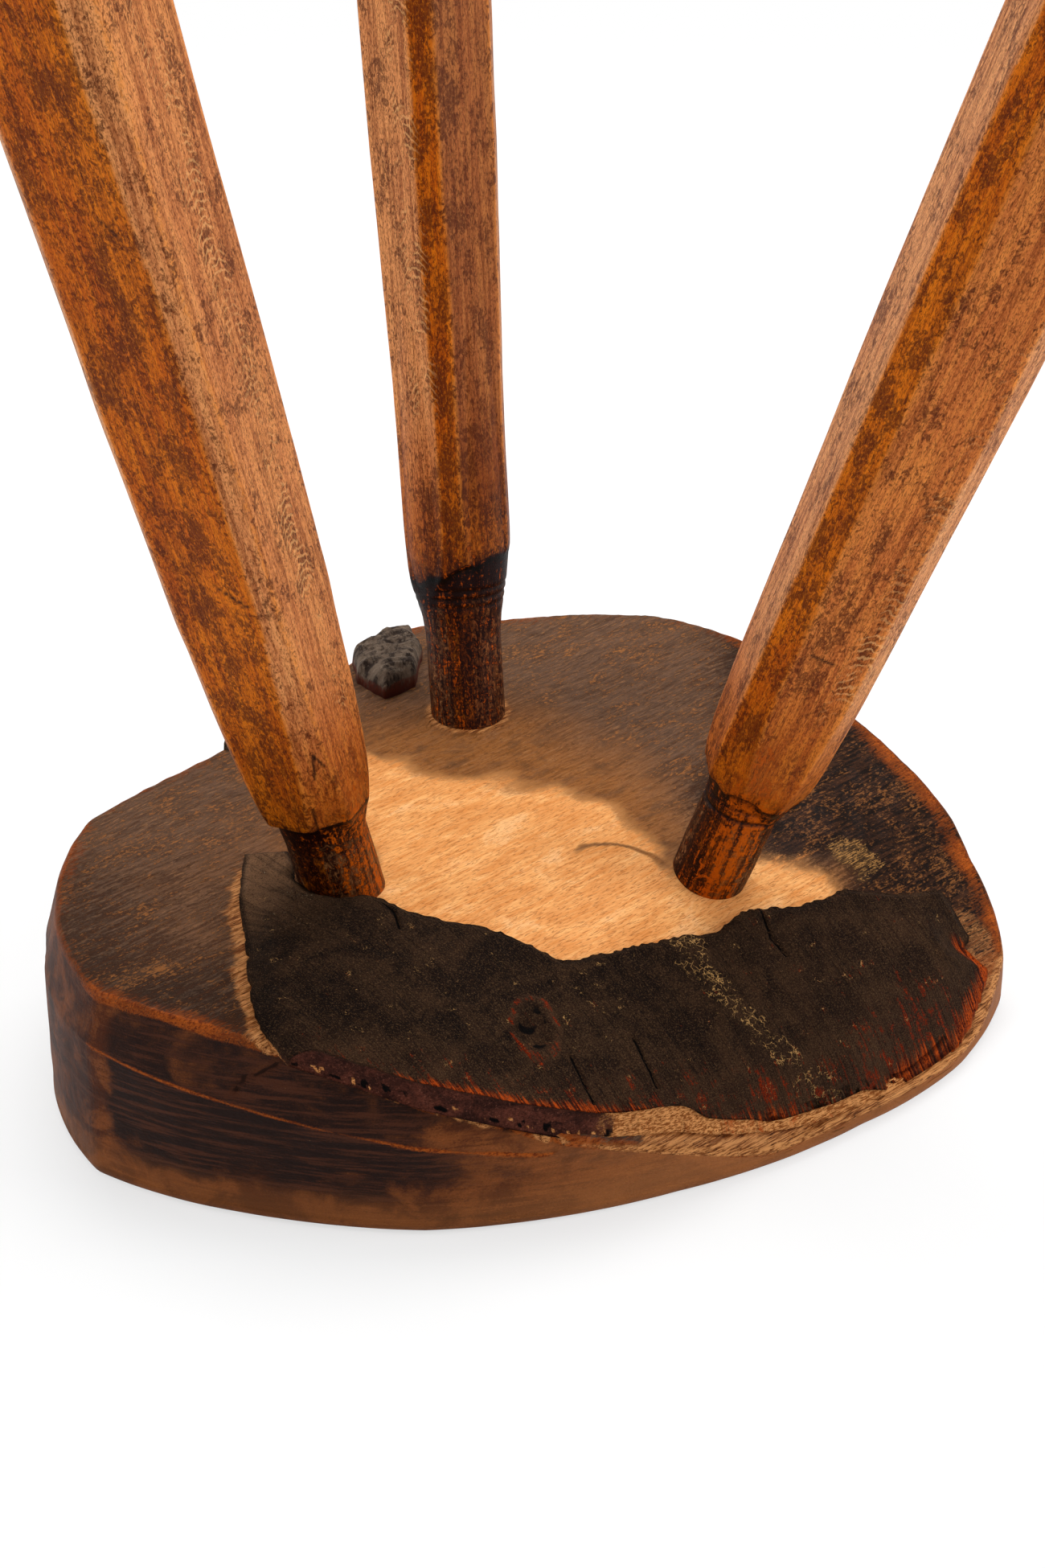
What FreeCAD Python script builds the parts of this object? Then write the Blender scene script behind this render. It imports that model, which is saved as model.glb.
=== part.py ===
import FreeCAD, Part
import os
import re
import Sketcher

# A three-legged stool, worked by hand from beech and stood on its sitting face.
# The seat is a slab split off a log: flat on the sitting face, flat and hewn on most of the
# underside, and round towards the front, where the skin of the log was left with its bark.
# Three eight-sided legs are whittled down to round necks and driven through the seat.
# Each tenon tapers, and a wedge in a kerf spreads it at the sitting face.
#
# Millimetres. +Z is up, Z = 0 is the sitting face, and the origin is the middle of the
# circle of legs. -X is left, -Y is the front.

doc = FreeCAD.newDocument("stool")
sheet = doc.addObject("Spreadsheet::Sheet", "sizes")
sheet.Label = "sizes"

SIZES = {
    # the whole
    "total_height": 450,    # sitting face to the plane of the feet
    # the seat
    "seat_wide": 320,       # left to right
    "seat_deep": 295,       # front to back
    "seat_thick": 67,       # where the underside is flat
    "wall_up": 48,          # upright part of the rim
    "rim_bevel": 5,         # how far the hewn bevel leans in up to the underside
    "rim_round": 2,         # how far the worn rim draws in at the sitting face
    "round_up": 4,          # height of that worn rim
    "thin_edge": 7,         # the least the seat is thick, at the front right
    # the log
    "log_radius": 172,      # of the wood under the bark
    "grain_angle": 43,      # direction of the log, from +X towards +Y
    "crown_off": 7,         # from the origin to where the log starts to fall away
    "bark_thick": 8,
    "bark_gap": 0.5,        # clearance of the bark round the left tenon
    # the bits of bark that stay at the back rim
    "chunk_thick": 11,
    "nub_thick": 5,
    # the legs
    "leg_circle": 71,       # where the axes of the legs meet the underside
    "right_out": 3.2,       # the right leg stands this much further out
    "left_azimuth": -138.8,
    "back_azimuth": 101.5,
    "right_azimuth": -18.8,
    "left_splay": 15.4,
    "back_splay": 16.5,
    "right_splay": 19.7,
    # wedges
    "wedge_thick": 3.5,     # at the sitting face
    "wedge_tip": 1.2,
    "wedge_deep": 32,       # how far it goes in along the tenon
    "ring_cut": 0.9,        # radius of the turned ring groove
}

# One leg each: widths across the four broad sides, how much further out the four narrow ones
# lie, diameters of the round neck, and heights along the leg from the plane of the underside.
LEGS = {
    "left": {"low_wide": 30, "shoulder_wide": 36, "mid_wide": 40.7, "high_wide": 44.1,
             "foot_wide": 50.7, "bevel_ratio": 1.19, "tip_dia": 23, "neck_dia": 27, "neck_up": 25,
             "flare_dia": 34, "flare_up": 36, "shoulder_dia": 41, "shoulder_up": 60,
             "collar_dia": 49, "collar_up": 104, "facet_turn": 23, "ring_up": 24},
    "back": {"low_wide": 29, "shoulder_wide": 32.1, "mid_wide": 33.5, "high_wide": 38.2,
             "foot_wide": 44.6, "bevel_ratio": 1.13, "tip_dia": 22.5, "neck_dia": 26.6,
             "neck_up": 27, "flare_dia": 30.2, "flare_up": 42, "shoulder_dia": 34,
             "shoulder_up": 54, "collar_dia": 37.4, "collar_up": 60, "facet_turn": 30,
             "ring_up": 40},
    "right": {"low_wide": 29, "shoulder_wide": 37, "mid_wide": 40.6, "high_wide": 45.5,
              "foot_wide": 56, "bevel_ratio": 1.14, "tip_dia": 22, "neck_dia": 25.8, "neck_up": 18,
              "flare_dia": 28.6, "flare_up": 29, "shoulder_dia": 37, "shoulder_up": 46,
              "collar_dia": 41, "collar_up": 60, "facet_turn": 24, "ring_up": 17},
}

# Heights of the eight-sided sections along a leg.
STATIONS = {"low": -85, "shoulder": 50, "mid": 120, "high": 200, "foot": 430}

for side, values in LEGS.items():
    for key, value in values.items():
        SIZES[side + "_" + key] = value
for key, value in STATIONS.items():
    SIZES["at_" + key] = value

for row, (alias, value) in enumerate(SIZES.items(), start=1):
    sheet.set("A%d" % row, alias)
    sheet.set("B%d" % row, str(value))
    sheet.setAlias("B%d" % row, alias)
doc.recompute()

NOMINAL_WIDE = 320      # the outlines below are given for a seat of this width
NOMINAL_DEEP = 295      # and this depth
WORLD = 700             # longer than anything in the model
BEYOND = 90             # past the sitting face along a leg

# Outline of the seat, counterclockwise from the front left corner: x, y and the radius of
# the stretch that follows, 0 for a straight hewn one.
SEAT_OUTLINE = [
    (-131, -113, 150), (-87, -134, 240), (-26, -144.5, 225), (53, -124.5, 223),
    (117, -86.5, 150), (152, -52, 140), (169, -14, 60), (160, 14, 150), (145.5, 45, 0),
    (123, 79, 0), (88, 131, 110), (57, 149, 115), (14, 150, 0), (-33, 143, 26),
    (-50, 128, 0), (-101, 49, 0), (-134, 12, 0), (-146, -4, 120), (-151, -55, 110),
]

# Outline of the bark that is left at the front, from behind the left tenon along the torn
# upper edge to the right, back along the worn edge, and past the rim along the front.
BARK_OUTLINE = [
    (-86, -37), (-60, -36), (-54, -50), (-40, -64), (-27, -72), (-9, -74), (7, -78),
    (18, -83), (40, -70), (68, -55), (76, -46), (84, -41), (97, -35), (113, -23),
    (130, -18), (146, -10), (156, -17), (152, -23), (162, -25), (154, -44), (148, -54),
    (131, -70), (118, -88), (101, -98), (84, -106), (82, -130), (20, -160), (-50, -160),
    (-76, -130), (-82, -105), (-80, -84), (-86, -62),
]

CHUNK_OUTLINE = [(-55, 91), (-44, 80), (-33, 90), (-31, 110), (-35, 124), (-45, 121),
                 (-57, 106)]
NUB_OUTLINE = [(-99, 42), (-94, 43), (-93, 51), (-97, 52)]


def number(formula):
    """The value of a formula of the sheet's cells."""
    return float(sheet.evalExpression(formula))


def across(x):
    """A left-right place that follows the width of the seat."""
    return "%s * seat_wide / %s" % (x, NOMINAL_WIDE)


def along(y):
    """A front-back place that follows the depth of the seat."""
    return "%s * seat_deep / %s" % (y, NOMINAL_DEEP)


def in_sheet(formula):
    """The same formula as an object outside the sheet writes it."""
    return re.sub("[a-z_]+", lambda word: ("sizes." if word[0] in SIZES else "") + word[0],
                  formula)


def bind(thing, name, formula):
    thing.setExpression(name, in_sheet(formula))


def draw(sketch, corners):
    """Close an outline whose corners are (x, y, radius) formulas; radius "" is straight."""
    points = [FreeCAD.Vector(number(x), number(y), 0) for x, y, _ in corners]
    count = len(corners)
    for i, (_, _, radius) in enumerate(corners):
        start, end = points[i], points[(i + 1) % count]
        if radius:
            chord = end - start
            bend = number(radius)
            sag = bend - (bend ** 2 - (chord.Length / 2) ** 2) ** 0.5
            outward = FreeCAD.Vector(chord.y, -chord.x, 0).normalize()
            middle = (start + end) / 2 + outward * sag
            sketch.addGeometry(Part.Arc(start, middle, end))
        else:
            sketch.addGeometry(Part.LineSegment(start, end))
    for i in range(count):
        sketch.addConstraint(Sketcher.Constraint("Coincident", i, 2, (i + 1) % count, 1))
    for i, (x, y, radius) in enumerate(corners):
        for kind, formula, value in (("DistanceX", x, points[i].x),
                                     ("DistanceY", y, points[i].y)):
            place = sketch.addConstraint(Sketcher.Constraint(kind, -1, 1, i, 1, value))
            bind(sketch, "Constraints[%d]" % place, formula)
        if radius:
            place = sketch.addConstraint(Sketcher.Constraint("Radius", i, number(radius)))
            bind(sketch, "Constraints[%d]" % place, radius)


def origin_plane(body, role):
    return next(plane for plane in body.Origin.OriginFeatures if plane.Role == role)


def level_sketch(body, name, height):
    """A sketch on the body's XY plane, lifted to a height."""
    sketch = body.newObject("Sketcher::SketchObject", name)
    sketch.AttachmentSupport = [(origin_plane(body, "XY_Plane"), "")]
    sketch.MapMode = "FlatFace"
    bind(sketch, "AttachmentOffset.Base.z", height)
    return sketch


def seat_blank():
    """The split and hewn block, before its underside is worked: a loft of its outline,
    drawn in at the worn sitting rim and again up the bevel."""
    body = doc.addObject("PartDesign::Body", "seat_blank")
    top = "seat_thick + bark_thick + thin_edge"
    lean = "rim_bevel * ( %s - wall_up ) / ( seat_thick - wall_up )" % top
    levels = [("sitting", "0", "rim_round"), ("rim_low", "round_up", "0"),
              ("rim_high", "wall_up", "0"), ("blank_top", top, lean)]
    sections = []
    for name, height, inset in levels:
        sketch = level_sketch(body, name + "_outline", height)
        draw(sketch, [
            ("%s * ( seat_wide - 2 * ( %s ) ) / %s" % (x, inset, NOMINAL_WIDE),
             "%s * ( seat_deep - 2 * ( %s ) ) / %s" % (y, inset, NOMINAL_DEEP),
             "%s * ( seat_wide - 2 * ( %s ) ) / %s" % (bend, inset, NOMINAL_WIDE)
             if bend else "")
            for x, y, bend in SEAT_OUTLINE])
        sections.append(sketch)
    loft = body.newObject("PartDesign::AdditiveLoft", "rim")
    loft.Profile = sections[0]
    loft.Sections = sections[1:]
    loft.Ruled = True
    return body


def log_form(name, outside):
    """Everything inside the log: a flat-topped half and the round flank that starts where
    the flat ends, with this much added outside the wood."""
    turned = "rotation( grain_angle ; 0 ; 0 )"
    flat = doc.addObject("Part::Box", name + "_flat")
    flat.Length = WORLD
    flat.Width = WORLD
    bind(flat, "Height", "seat_thick + " + outside)
    bind(flat, "Placement", "placement( vector( crown_off * sin( grain_angle ) - %s *"
         " cos( grain_angle ) ; - crown_off * cos( grain_angle ) - %s * sin( grain_angle ) ;"
         " 0 ) ; %s )" % (WORLD / 2, WORLD / 2, turned))
    flank = doc.addObject("Part::Cylinder", name + "_flank")
    flank.Height = WORLD
    bind(flank, "Radius", "log_radius + " + outside)
    bind(flank, "Placement", "placement( vector( crown_off * sin( grain_angle ) - %s *"
         " cos( grain_angle ) ; - crown_off * cos( grain_angle ) - %s * sin( grain_angle ) ;"
         " seat_thick - log_radius ) ; rotation( grain_angle ; 90 ; 0 ) )"
         % (WORLD / 2, WORLD / 2))
    pieces = [flat, flank]
    if outside == "0":
        edge = doc.addObject("Part::Box", name + "_edge")
        edge.Length = WORLD
        edge.Width = WORLD
        bind(edge, "Height", "thin_edge")
        edge.Placement.Base = FreeCAD.Vector(-WORLD / 2, -WORLD / 2, 0)
        pieces.append(edge)
    form = doc.addObject("Part::MultiFuse", name)
    form.Shapes = pieces
    return form


def leg_place(side):
    """Where a leg's own frame sits: its origin on the plane of the underside, its X axis
    outwards and down, its Z axis along the leg."""
    out = "( leg_circle + right_out )" if side == "right" else "leg_circle"
    return ("placement( vector( {out} * cos( {side}_azimuth ) ; {out} * sin( {side}_azimuth )"
            " ; seat_thick ) ; rotation( {side}_azimuth ; {side}_splay ; 0 ) )"
            ).format(out=out, side=side)


def leg_shaft(side):
    """The eight-sided leg, thicker towards the foot: a four-sided taper, and a second one
    turned by half a corner that takes the corners off the first."""
    tapers = []
    for name, turn, reach in (("broad", -45, "1"), ("narrow", 0, side + "_bevel_ratio")):
        sections = []
        for station in STATIONS:
            section = doc.addObject("Part::RegularPolygon",
                                    "%s_%s_%s" % (side, name, station))
            section.Polygon = 4
            bind(section, "Circumradius",
                 "%s_%s_wide / sqrt( 2 ) * %s" % (side, station, reach))
            bind(section, "Placement", "placement( vector( 0 ; 0 ; at_%s ) ; rotation("
                 " %s_facet_turn + %s ; 0 ; 0 ) )" % (station, side, turn))
            sections.append(section)
        taper = doc.addObject("Part::Loft", "%s_%s_sides" % (side, name))
        taper.Sections = sections
        taper.Solid = True
        bind(taper, "Placement", leg_place(side))
        tapers.append(taper)
    shaft = doc.addObject("Part::Common", side + "_shaft")
    shaft.Base, shaft.Tool = tapers
    return shaft


def leg_neck(side):
    """What the knife leaves of the shaft: a tapered tenon up to the underside, a round neck
    and a flare that runs out of the eight sides. A profile turned about the leg's axis."""
    corners = [("0", str(-BEYOND)), ("{s}_tip_dia / 2", str(-BEYOND)),
               ("{s}_neck_dia / 2", "0"), ("{s}_neck_dia / 2", "{s}_neck_up"),
               ("{s}_flare_dia / 2", "{s}_flare_up"),
               ("{s}_shoulder_dia / 2", "{s}_shoulder_up"),
               ("{s}_collar_dia / 2", "{s}_collar_up"),
               ("{s}_foot_wide", "{s}_collar_up"), ("{s}_foot_wide", str(WORLD)),
               ("0", str(WORLD))]
    profile = doc.addObject("Sketcher::SketchObject", side + "_neck_profile")
    profile.Placement.Rotation = FreeCAD.Rotation(0, 0, 90)
    draw(profile, [(x.format(s=side), y.format(s=side), "") for x, y in corners])
    neck = doc.addObject("Part::Revolution", side + "_neck")
    neck.Source = profile
    neck.Axis = (0, 0, 1)
    neck.Angle = 360
    neck.Solid = True
    bind(neck, "Placement", leg_place(side))
    return neck


def leg_raw(side):
    """Shaft and neck together, with the ring groove cut, still too long at both ends."""
    body = doc.addObject("Part::Common", side + "_worked")
    body.Base = leg_shaft(side)
    body.Tool = leg_neck(side)
    ring = doc.addObject("Part::Torus", side + "_ring")
    bind(ring, "Radius1", "%s_neck_dia / 2 + ring_cut * 2 / 3" % side)
    bind(ring, "Radius2", "ring_cut")
    bind(ring, "Placement", "%s * placement( vector( 0 ; 0 ; %s_ring_up ) ;"
         " rotation( 0 ; 0 ; 0 ) )" % (leg_place(side), side))
    cut = doc.addObject("Part::Cut", side + "_grooved")
    cut.Base = body
    cut.Tool = ring
    return cut


def wedge_blank(side):
    """A thin wedge along the tenon, its flat sides across the grain of the seat."""
    wedge = doc.addObject("Part::Wedge", side + "_wedge_blank")
    half_wide = "%s_neck_dia / 2" % side
    depth = "seat_thick / cos( %s_splay )" % side
    spread = "( wedge_thick - wedge_tip ) / wedge_deep * ( %s - ( %s ) )" % (BEYOND, depth)
    bind(wedge, "Xmin", "- wedge_thick / 2 - " + spread)
    bind(wedge, "Xmax", "wedge_thick / 2 + " + spread)
    bind(wedge, "X2min", "- wedge_tip / 2")
    bind(wedge, "X2max", "wedge_tip / 2")
    for name, sign in (("Zmin", "- "), ("Z2min", "- "), ("Zmax", ""), ("Z2max", "")):
        bind(wedge, name, sign + half_wide)
    bind(wedge, "Ymin", str(-BEYOND))
    bind(wedge, "Ymax", "wedge_deep - ( %s )" % depth)
    bind(wedge, "Placement", "%s * placement( vector( 0 ; 0 ; 0 ) ;"
         " rotation( grain_angle - %s_azimuth ; 0 ; 90 ) )" % (leg_place(side), side))
    return wedge


def finish(kind, label, base, tool):
    """The last boolean of a sub-part, named as the piece."""
    piece = doc.addObject(kind, label)
    piece.Label = label
    if kind == "Part::MultiCommon":
        piece.Shapes = [base] + tool
    else:
        piece.Base = base
        piece.Tool = tool
    return piece


between_faces = doc.addObject("Part::Box", "between_faces")
between_faces.Length = 2 * WORLD
between_faces.Width = 2 * WORLD
between_faces.Placement.Base = FreeCAD.Vector(-WORLD, -WORLD, 0)
bind(between_faces, "Height", "total_height")

pieces = []
raw_legs = []
for side in LEGS:
    raw = leg_raw(side)
    raw_legs.append(raw)
    blank = wedge_blank(side)
    whole = finish("Part::MultiCommon", side + "_trimmed", raw, [between_faces])
    pieces.append(finish("Part::Cut", "leg_" + side, whole, blank))
    pieces.append(finish("Part::MultiCommon", "wedge_" + side, blank, [raw, between_faces]))

blank = seat_blank()
wood = doc.addObject("Part::MultiCommon", "wood")
wood.Shapes = [blank, log_form("wood_form", "0")]
bores = doc.addObject("Part::MultiFuse", "bores")
bores.Shapes = raw_legs
seat = finish("Part::Cut", "seat_slab", wood, bores)
pieces.append(seat)


def prism(name, outline):
    """An upright prism on a plan outline."""
    body = doc.addObject("PartDesign::Body", name)
    sketch = level_sketch(body, name + "_outline", "0")
    draw(sketch, [(across(x), along(y), "") for x, y in outline])
    pad = body.newObject("PartDesign::Pad", name + "_pad")
    pad.Profile = sketch
    pad.Length = WORLD / 2
    return body


# The bark at the front lies on the wood and is flush with the rim.
patch = doc.addObject("Part::MultiCommon", "bark_patch")
patch.Shapes = [blank, log_form("bark_form", "bark_thick"), prism("bark_cut", BARK_OUTLINE)]
hole = doc.addObject("Part::Cylinder", "bark_hole")
bind(hole, "Radius", "left_neck_dia / 2 + bark_gap")
bind(hole, "Height", "wall_up")
bind(hole, "Placement", "%s * placement( vector( 0 ; 0 ; - wall_up / 2 ) ;"
     " rotation( 0 ; 0 ; 0 ) )" % leg_place("left"))
under_bark = doc.addObject("Part::MultiFuse", "under_bark")
under_bark.Shapes = [wood, hole]
pieces.append(finish("Part::Cut", "bark_plate", patch, under_bark))


def rim_bit(label, outline, thick):
    """A bit of bark or skin that stays at the rim, standing on the underside."""
    body = doc.addObject("PartDesign::Body", label)
    body.Label = label
    sketch = level_sketch(body, label + "_outline", "seat_thick")
    draw(sketch, [(across(x), along(y), "") for x, y in outline])
    pad = body.newObject("PartDesign::Pad", label + "_pad")
    pad.Profile = sketch
    bind(pad, "Length", thick)
    doc.recompute()
    upper = max(pad.Shape.Faces, key=lambda face: face.CenterOfMass.z)
    name = "Face%d" % (1 + [face.isSame(upper) for face in pad.Shape.Faces].index(True))
    bevel = body.newObject("PartDesign::Chamfer", label + "_worn")
    bevel.Base = (pad, [name])
    bind(bevel, "Size", thick + " / 3")
    body.Tip = bevel
    return body


pieces.append(rim_bit("bark_chunk", CHUNK_OUTLINE, "chunk_thick"))
pieces.append(rim_bit("bark_nub", NUB_OUTLINE, "nub_thick"))

doc.recompute()
for thing in doc.Objects:
    for state in ("Invalid", "Error"):
        if state in thing.State:
            raise RuntimeError("%s is %s" % (thing.Label, state))
os.makedirs("parts", exist_ok=True)
for piece in pieces:
    if piece.Shape.isNull() or not piece.Shape.isValid() or not piece.Shape.Solids:
        raise RuntimeError("%s has no valid solid" % piece.Label)
for piece in pieces:
    box = piece.Shape.optimalBoundingBox(False)
    print("%-12s %d solid %9.0f mm3  x %6.1f %6.1f  y %6.1f %6.1f  z %6.1f %6.1f" % (
        piece.Label, len(piece.Shape.Solids), piece.Shape.Volume,
        box.XMin, box.XMax, box.YMin, box.YMax, box.ZMin, box.ZMax))
    piece.Shape.exportStep("parts/%s.step" % piece.Label)
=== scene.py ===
# %% [markdown]
# # A three-legged beech stool, stored on its sitting face
# The stool lies as people put it away: sitting face down, legs up. Its construction comes
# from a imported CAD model, and this lesson makes the looks: hand-hewn surfaces, bark and old
# polished wood. The CAD model is loaded first, because every piece has to fit it.

# %% Load the frame
import bpy
import numpy as np
from mathutils import Matrix, Vector


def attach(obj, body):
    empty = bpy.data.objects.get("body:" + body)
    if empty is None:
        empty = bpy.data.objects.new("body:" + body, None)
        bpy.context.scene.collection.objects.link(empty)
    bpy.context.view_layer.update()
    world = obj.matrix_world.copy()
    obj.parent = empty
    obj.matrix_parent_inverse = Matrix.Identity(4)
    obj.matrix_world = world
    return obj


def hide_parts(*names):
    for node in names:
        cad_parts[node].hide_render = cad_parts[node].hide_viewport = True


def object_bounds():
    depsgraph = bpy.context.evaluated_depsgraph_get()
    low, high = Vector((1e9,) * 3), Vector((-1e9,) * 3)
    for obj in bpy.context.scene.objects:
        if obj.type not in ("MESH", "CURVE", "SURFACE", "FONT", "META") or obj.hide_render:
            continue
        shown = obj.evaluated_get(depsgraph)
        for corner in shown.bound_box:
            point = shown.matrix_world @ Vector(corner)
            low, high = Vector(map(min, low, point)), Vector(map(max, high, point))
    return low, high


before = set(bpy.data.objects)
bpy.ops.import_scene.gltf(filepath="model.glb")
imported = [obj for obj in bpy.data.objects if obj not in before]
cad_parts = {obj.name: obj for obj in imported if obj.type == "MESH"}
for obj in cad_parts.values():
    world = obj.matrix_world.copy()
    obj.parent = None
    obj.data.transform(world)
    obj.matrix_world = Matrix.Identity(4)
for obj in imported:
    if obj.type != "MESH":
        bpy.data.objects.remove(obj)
cad_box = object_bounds()
print("CAD box:", [[round(v, 4) for v in corner] for corner in cad_box])

# %% [markdown]
# ## The camera
# It looks down at 30 degrees from the front. The lens is long, so that there is little
# perspective. The feet are outside the view on purpose.

# %% Camera
CAMERA_PLACE = (0.005, -1.0505, 0.685)
LOOKS_DOWN = 30         # degrees below the level
LENS, SENSOR = 83.08, 36

camera = bpy.data.objects.new("camera", bpy.data.cameras.new("camera"))
camera.location = CAMERA_PLACE
camera.rotation_euler = (np.radians(90 - LOOKS_DOWN), 0, 0)
camera.data.sensor_width, camera.data.lens = SENSOR, LENS
camera.data.clip_start, camera.data.clip_end = 0.05, 20
bpy.context.collection.objects.link(camera)
bpy.context.scene.camera = camera
print("camera at", tuple(round(v, 3) for v in camera.location))

# %% [markdown]
# ## Helpers for shapes
# Old wood is never smooth, so most shapes need noise. Blender has displacement textures, but
# noise worked out in numpy also gives masks for the materials: the same dent that moves a
# vertex can darken it. The stool is in millimetres until a mesh is made. The camera, the
# floor and the lamps are in metres.

# %% Noise and distances
MM = 0.001


def corner_value(cell, seed):
    """One number in -1..1 for each corner of a lattice: its three whole numbers and the seed
    are multiplied by large numbers, joined by exclusive or, stirred and scaled."""
    h = (cell[..., 0] * 73856093) ^ (cell[..., 1] * 19349663) ^ (cell[..., 2] * 83492791)
    h = (h ^ (seed * 40503)) & 0xFFFFFFFF
    h = ((h ^ (h >> 15)) * 1274126177) & 0xFFFFFFFF
    h = ((h ^ (h >> 13)) * 1103515245) & 0xFFFFFFFF
    return (h ^ (h >> 16)) / 2147483648.0 - 1


def noise(x, y, z, size, seed=0, octaves=1):
    """Smooth numbers in about -1..1: the values at the eight corners of a cell of this size
    (one length, or one for each axis), blended by 3f^2 - 2f^3 of the place f in the cell.
    Each further octave is half as large and half as strong."""
    place = np.stack(np.broadcast_arrays(x, y, z), -1) / np.asarray(size, float)
    total, strength, norm = 0.0, 1.0, 0.0
    for octave in range(octaves):
        cell = np.floor(place).astype(np.int64)
        f = place - cell
        f = f * f * (3 - 2 * f)
        value = 0.0
        for corner in np.ndindex(2, 2, 2):
            weight = np.prod(np.where(corner, f, 1 - f), axis=-1)
            value = value + weight * corner_value(cell + corner, seed + 31 * octave)
        total = total + strength * value
        norm += strength
        place, strength = place * 2.03 + 7.7, strength / 2
    return total / norm


def step(value, low, high):
    """0 below low, 1 above high, and 3q^2 - 2q^3 between them."""
    q = np.clip((value - low) / (high - low), 0, 1)
    return q * q * (3 - 2 * q)


def near(x, y, line):
    """Distance to a line of straight runs: to the nearest place q of each, q from 0 to 1."""
    best = np.full(np.shape(x), 1e9)
    for (x0, y0), (x1, y1) in zip(line, line[1:]):
        q = np.clip(((x - x0) * (x1 - x0) + (y - y0) * (y1 - y0))
                    / ((x1 - x0) ** 2 + (y1 - y0) ** 2), 0, 1)
        best = np.minimum(best, np.hypot(x - x0 - q * (x1 - x0), y - y0 - q * (y1 - y0)))
    return best


def column(low, high, count):
    """Even steps as a column, so that they combine with a row of places round a piece."""
    return np.linspace(low, high, count)[:, None]


def polar(middle, radius, theta):
    """Plan coordinates of places given by a radius and an angle round a middle."""
    return middle[0] + radius * np.cos(theta), middle[1] + radius * np.sin(theta)


def bezier(start, corner, end, u):
    """The parabola (1 - u)^2 start + 2u(1 - u) corner + u^2 end, which rounds a corner."""
    return (1 - u) ** 2 * start + 2 * u * (1 - u) * corner + u ** 2 * end


print("noise sample:", round(float(noise(12.0, 5.0, 3.0, 7, octaves=3)), 3))

# %% [markdown]
# Every new piece is a tube of points closed at both ends. A round piece ends in poles, and
# the bark plate ends flat, so its last ring is zipped up from side to side.

# %% Mesh maker


def mesh_piece(name, points, masks, material, node, ends="pole"):
    """A closed mesh from rings of points (rings, round, 3) in mm. Neighbours make quads. An
    end is a fan to the ring's middle, or a zip that joins point i to point n - 1 - i."""
    rings, count = points.shape[:2]
    index = np.arange(rings * count).reshape(rings, count)
    here, there = index, np.roll(index, -1, axis=1)
    faces = np.stack([here[:-1], there[:-1], there[1:], here[1:]], -1).reshape(-1, 4)
    verts = points.reshape(-1, 3)
    masks = {key: np.broadcast_to(value, points.shape[:2] + np.shape(value)[2:])
             for key, value in masks.items()}
    if ends == "pole":
        verts = np.concatenate([verts, points[[0, -1]].mean(1)])
        low, high = rings * count, rings * count + 1
        fans = [np.stack([there[0], here[0], np.full(count, low)], -1),
                np.stack([here[-1], there[-1], np.full(count, high)], -1)]
        faces = faces.tolist() + np.concatenate(fans).tolist()
    else:
        i = np.arange(count // 2 - 1)
        zips = [np.stack([line[i + 1], line[i], line[count - 1 - i], line[count - 2 - i]], -1)
                for line in (index[0], index[-1])]
        faces = faces.tolist() + zips[0].tolist() + zips[1][:, ::-1].tolist()
    mesh = bpy.data.meshes.new(name)
    mesh.from_pydata((verts * MM).tolist(), [], faces)
    for key, value in masks.items():
        flat = value.reshape((rings * count,) + value.shape[2:])
        if ends == "pole":
            flat = np.concatenate([flat, value[[0, -1]].mean(1)])
        kind = "FLOAT_VECTOR" if flat.ndim == 2 else "FLOAT"
        layer = mesh.attributes.new(key, kind, "POINT")
        layer.data.foreach_set("vector" if flat.ndim == 2 else "value",
                               np.ascontiguousarray(flat, np.float32).ravel())
    mesh.polygons.foreach_set("use_smooth", np.ones(len(mesh.polygons), bool))
    mesh.materials.append(material)
    mesh.update()
    piece = bpy.data.objects.new(name, mesh)
    bpy.context.collection.objects.link(piece)
    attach(piece, "root")
    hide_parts(node)
    print("%s: %d faces" % (name, len(mesh.polygons)))


# %% [markdown]
# ## Helpers for materials
# A material is written as a formula. A wire is one output of a node, and adding or
# multiplying wires adds the Math nodes, so the code reads like the sum it stands for.

# %% Wires and paint


class Wire:
    """One output of a shader node, which can be used in sums."""

    def __init__(self, paint, socket):
        self.paint, self.socket = paint, socket

    def math(self, operation, *values):
        return self.paint.add("ShaderNodeMath", {"operation": operation},
                              dict(enumerate(values)))

    def __add__(self, other):
        return self.math("ADD", self, other)

    def __sub__(self, other):
        return self.math("SUBTRACT", self, other)

    def __rsub__(self, other):
        return self.math("SUBTRACT", other, self)

    def __mul__(self, other):
        return self.math("MULTIPLY", self, other)

    def sine(self):
        return self.math("SINE", self)

    __radd__, __rmul__ = __add__, __mul__


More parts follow.
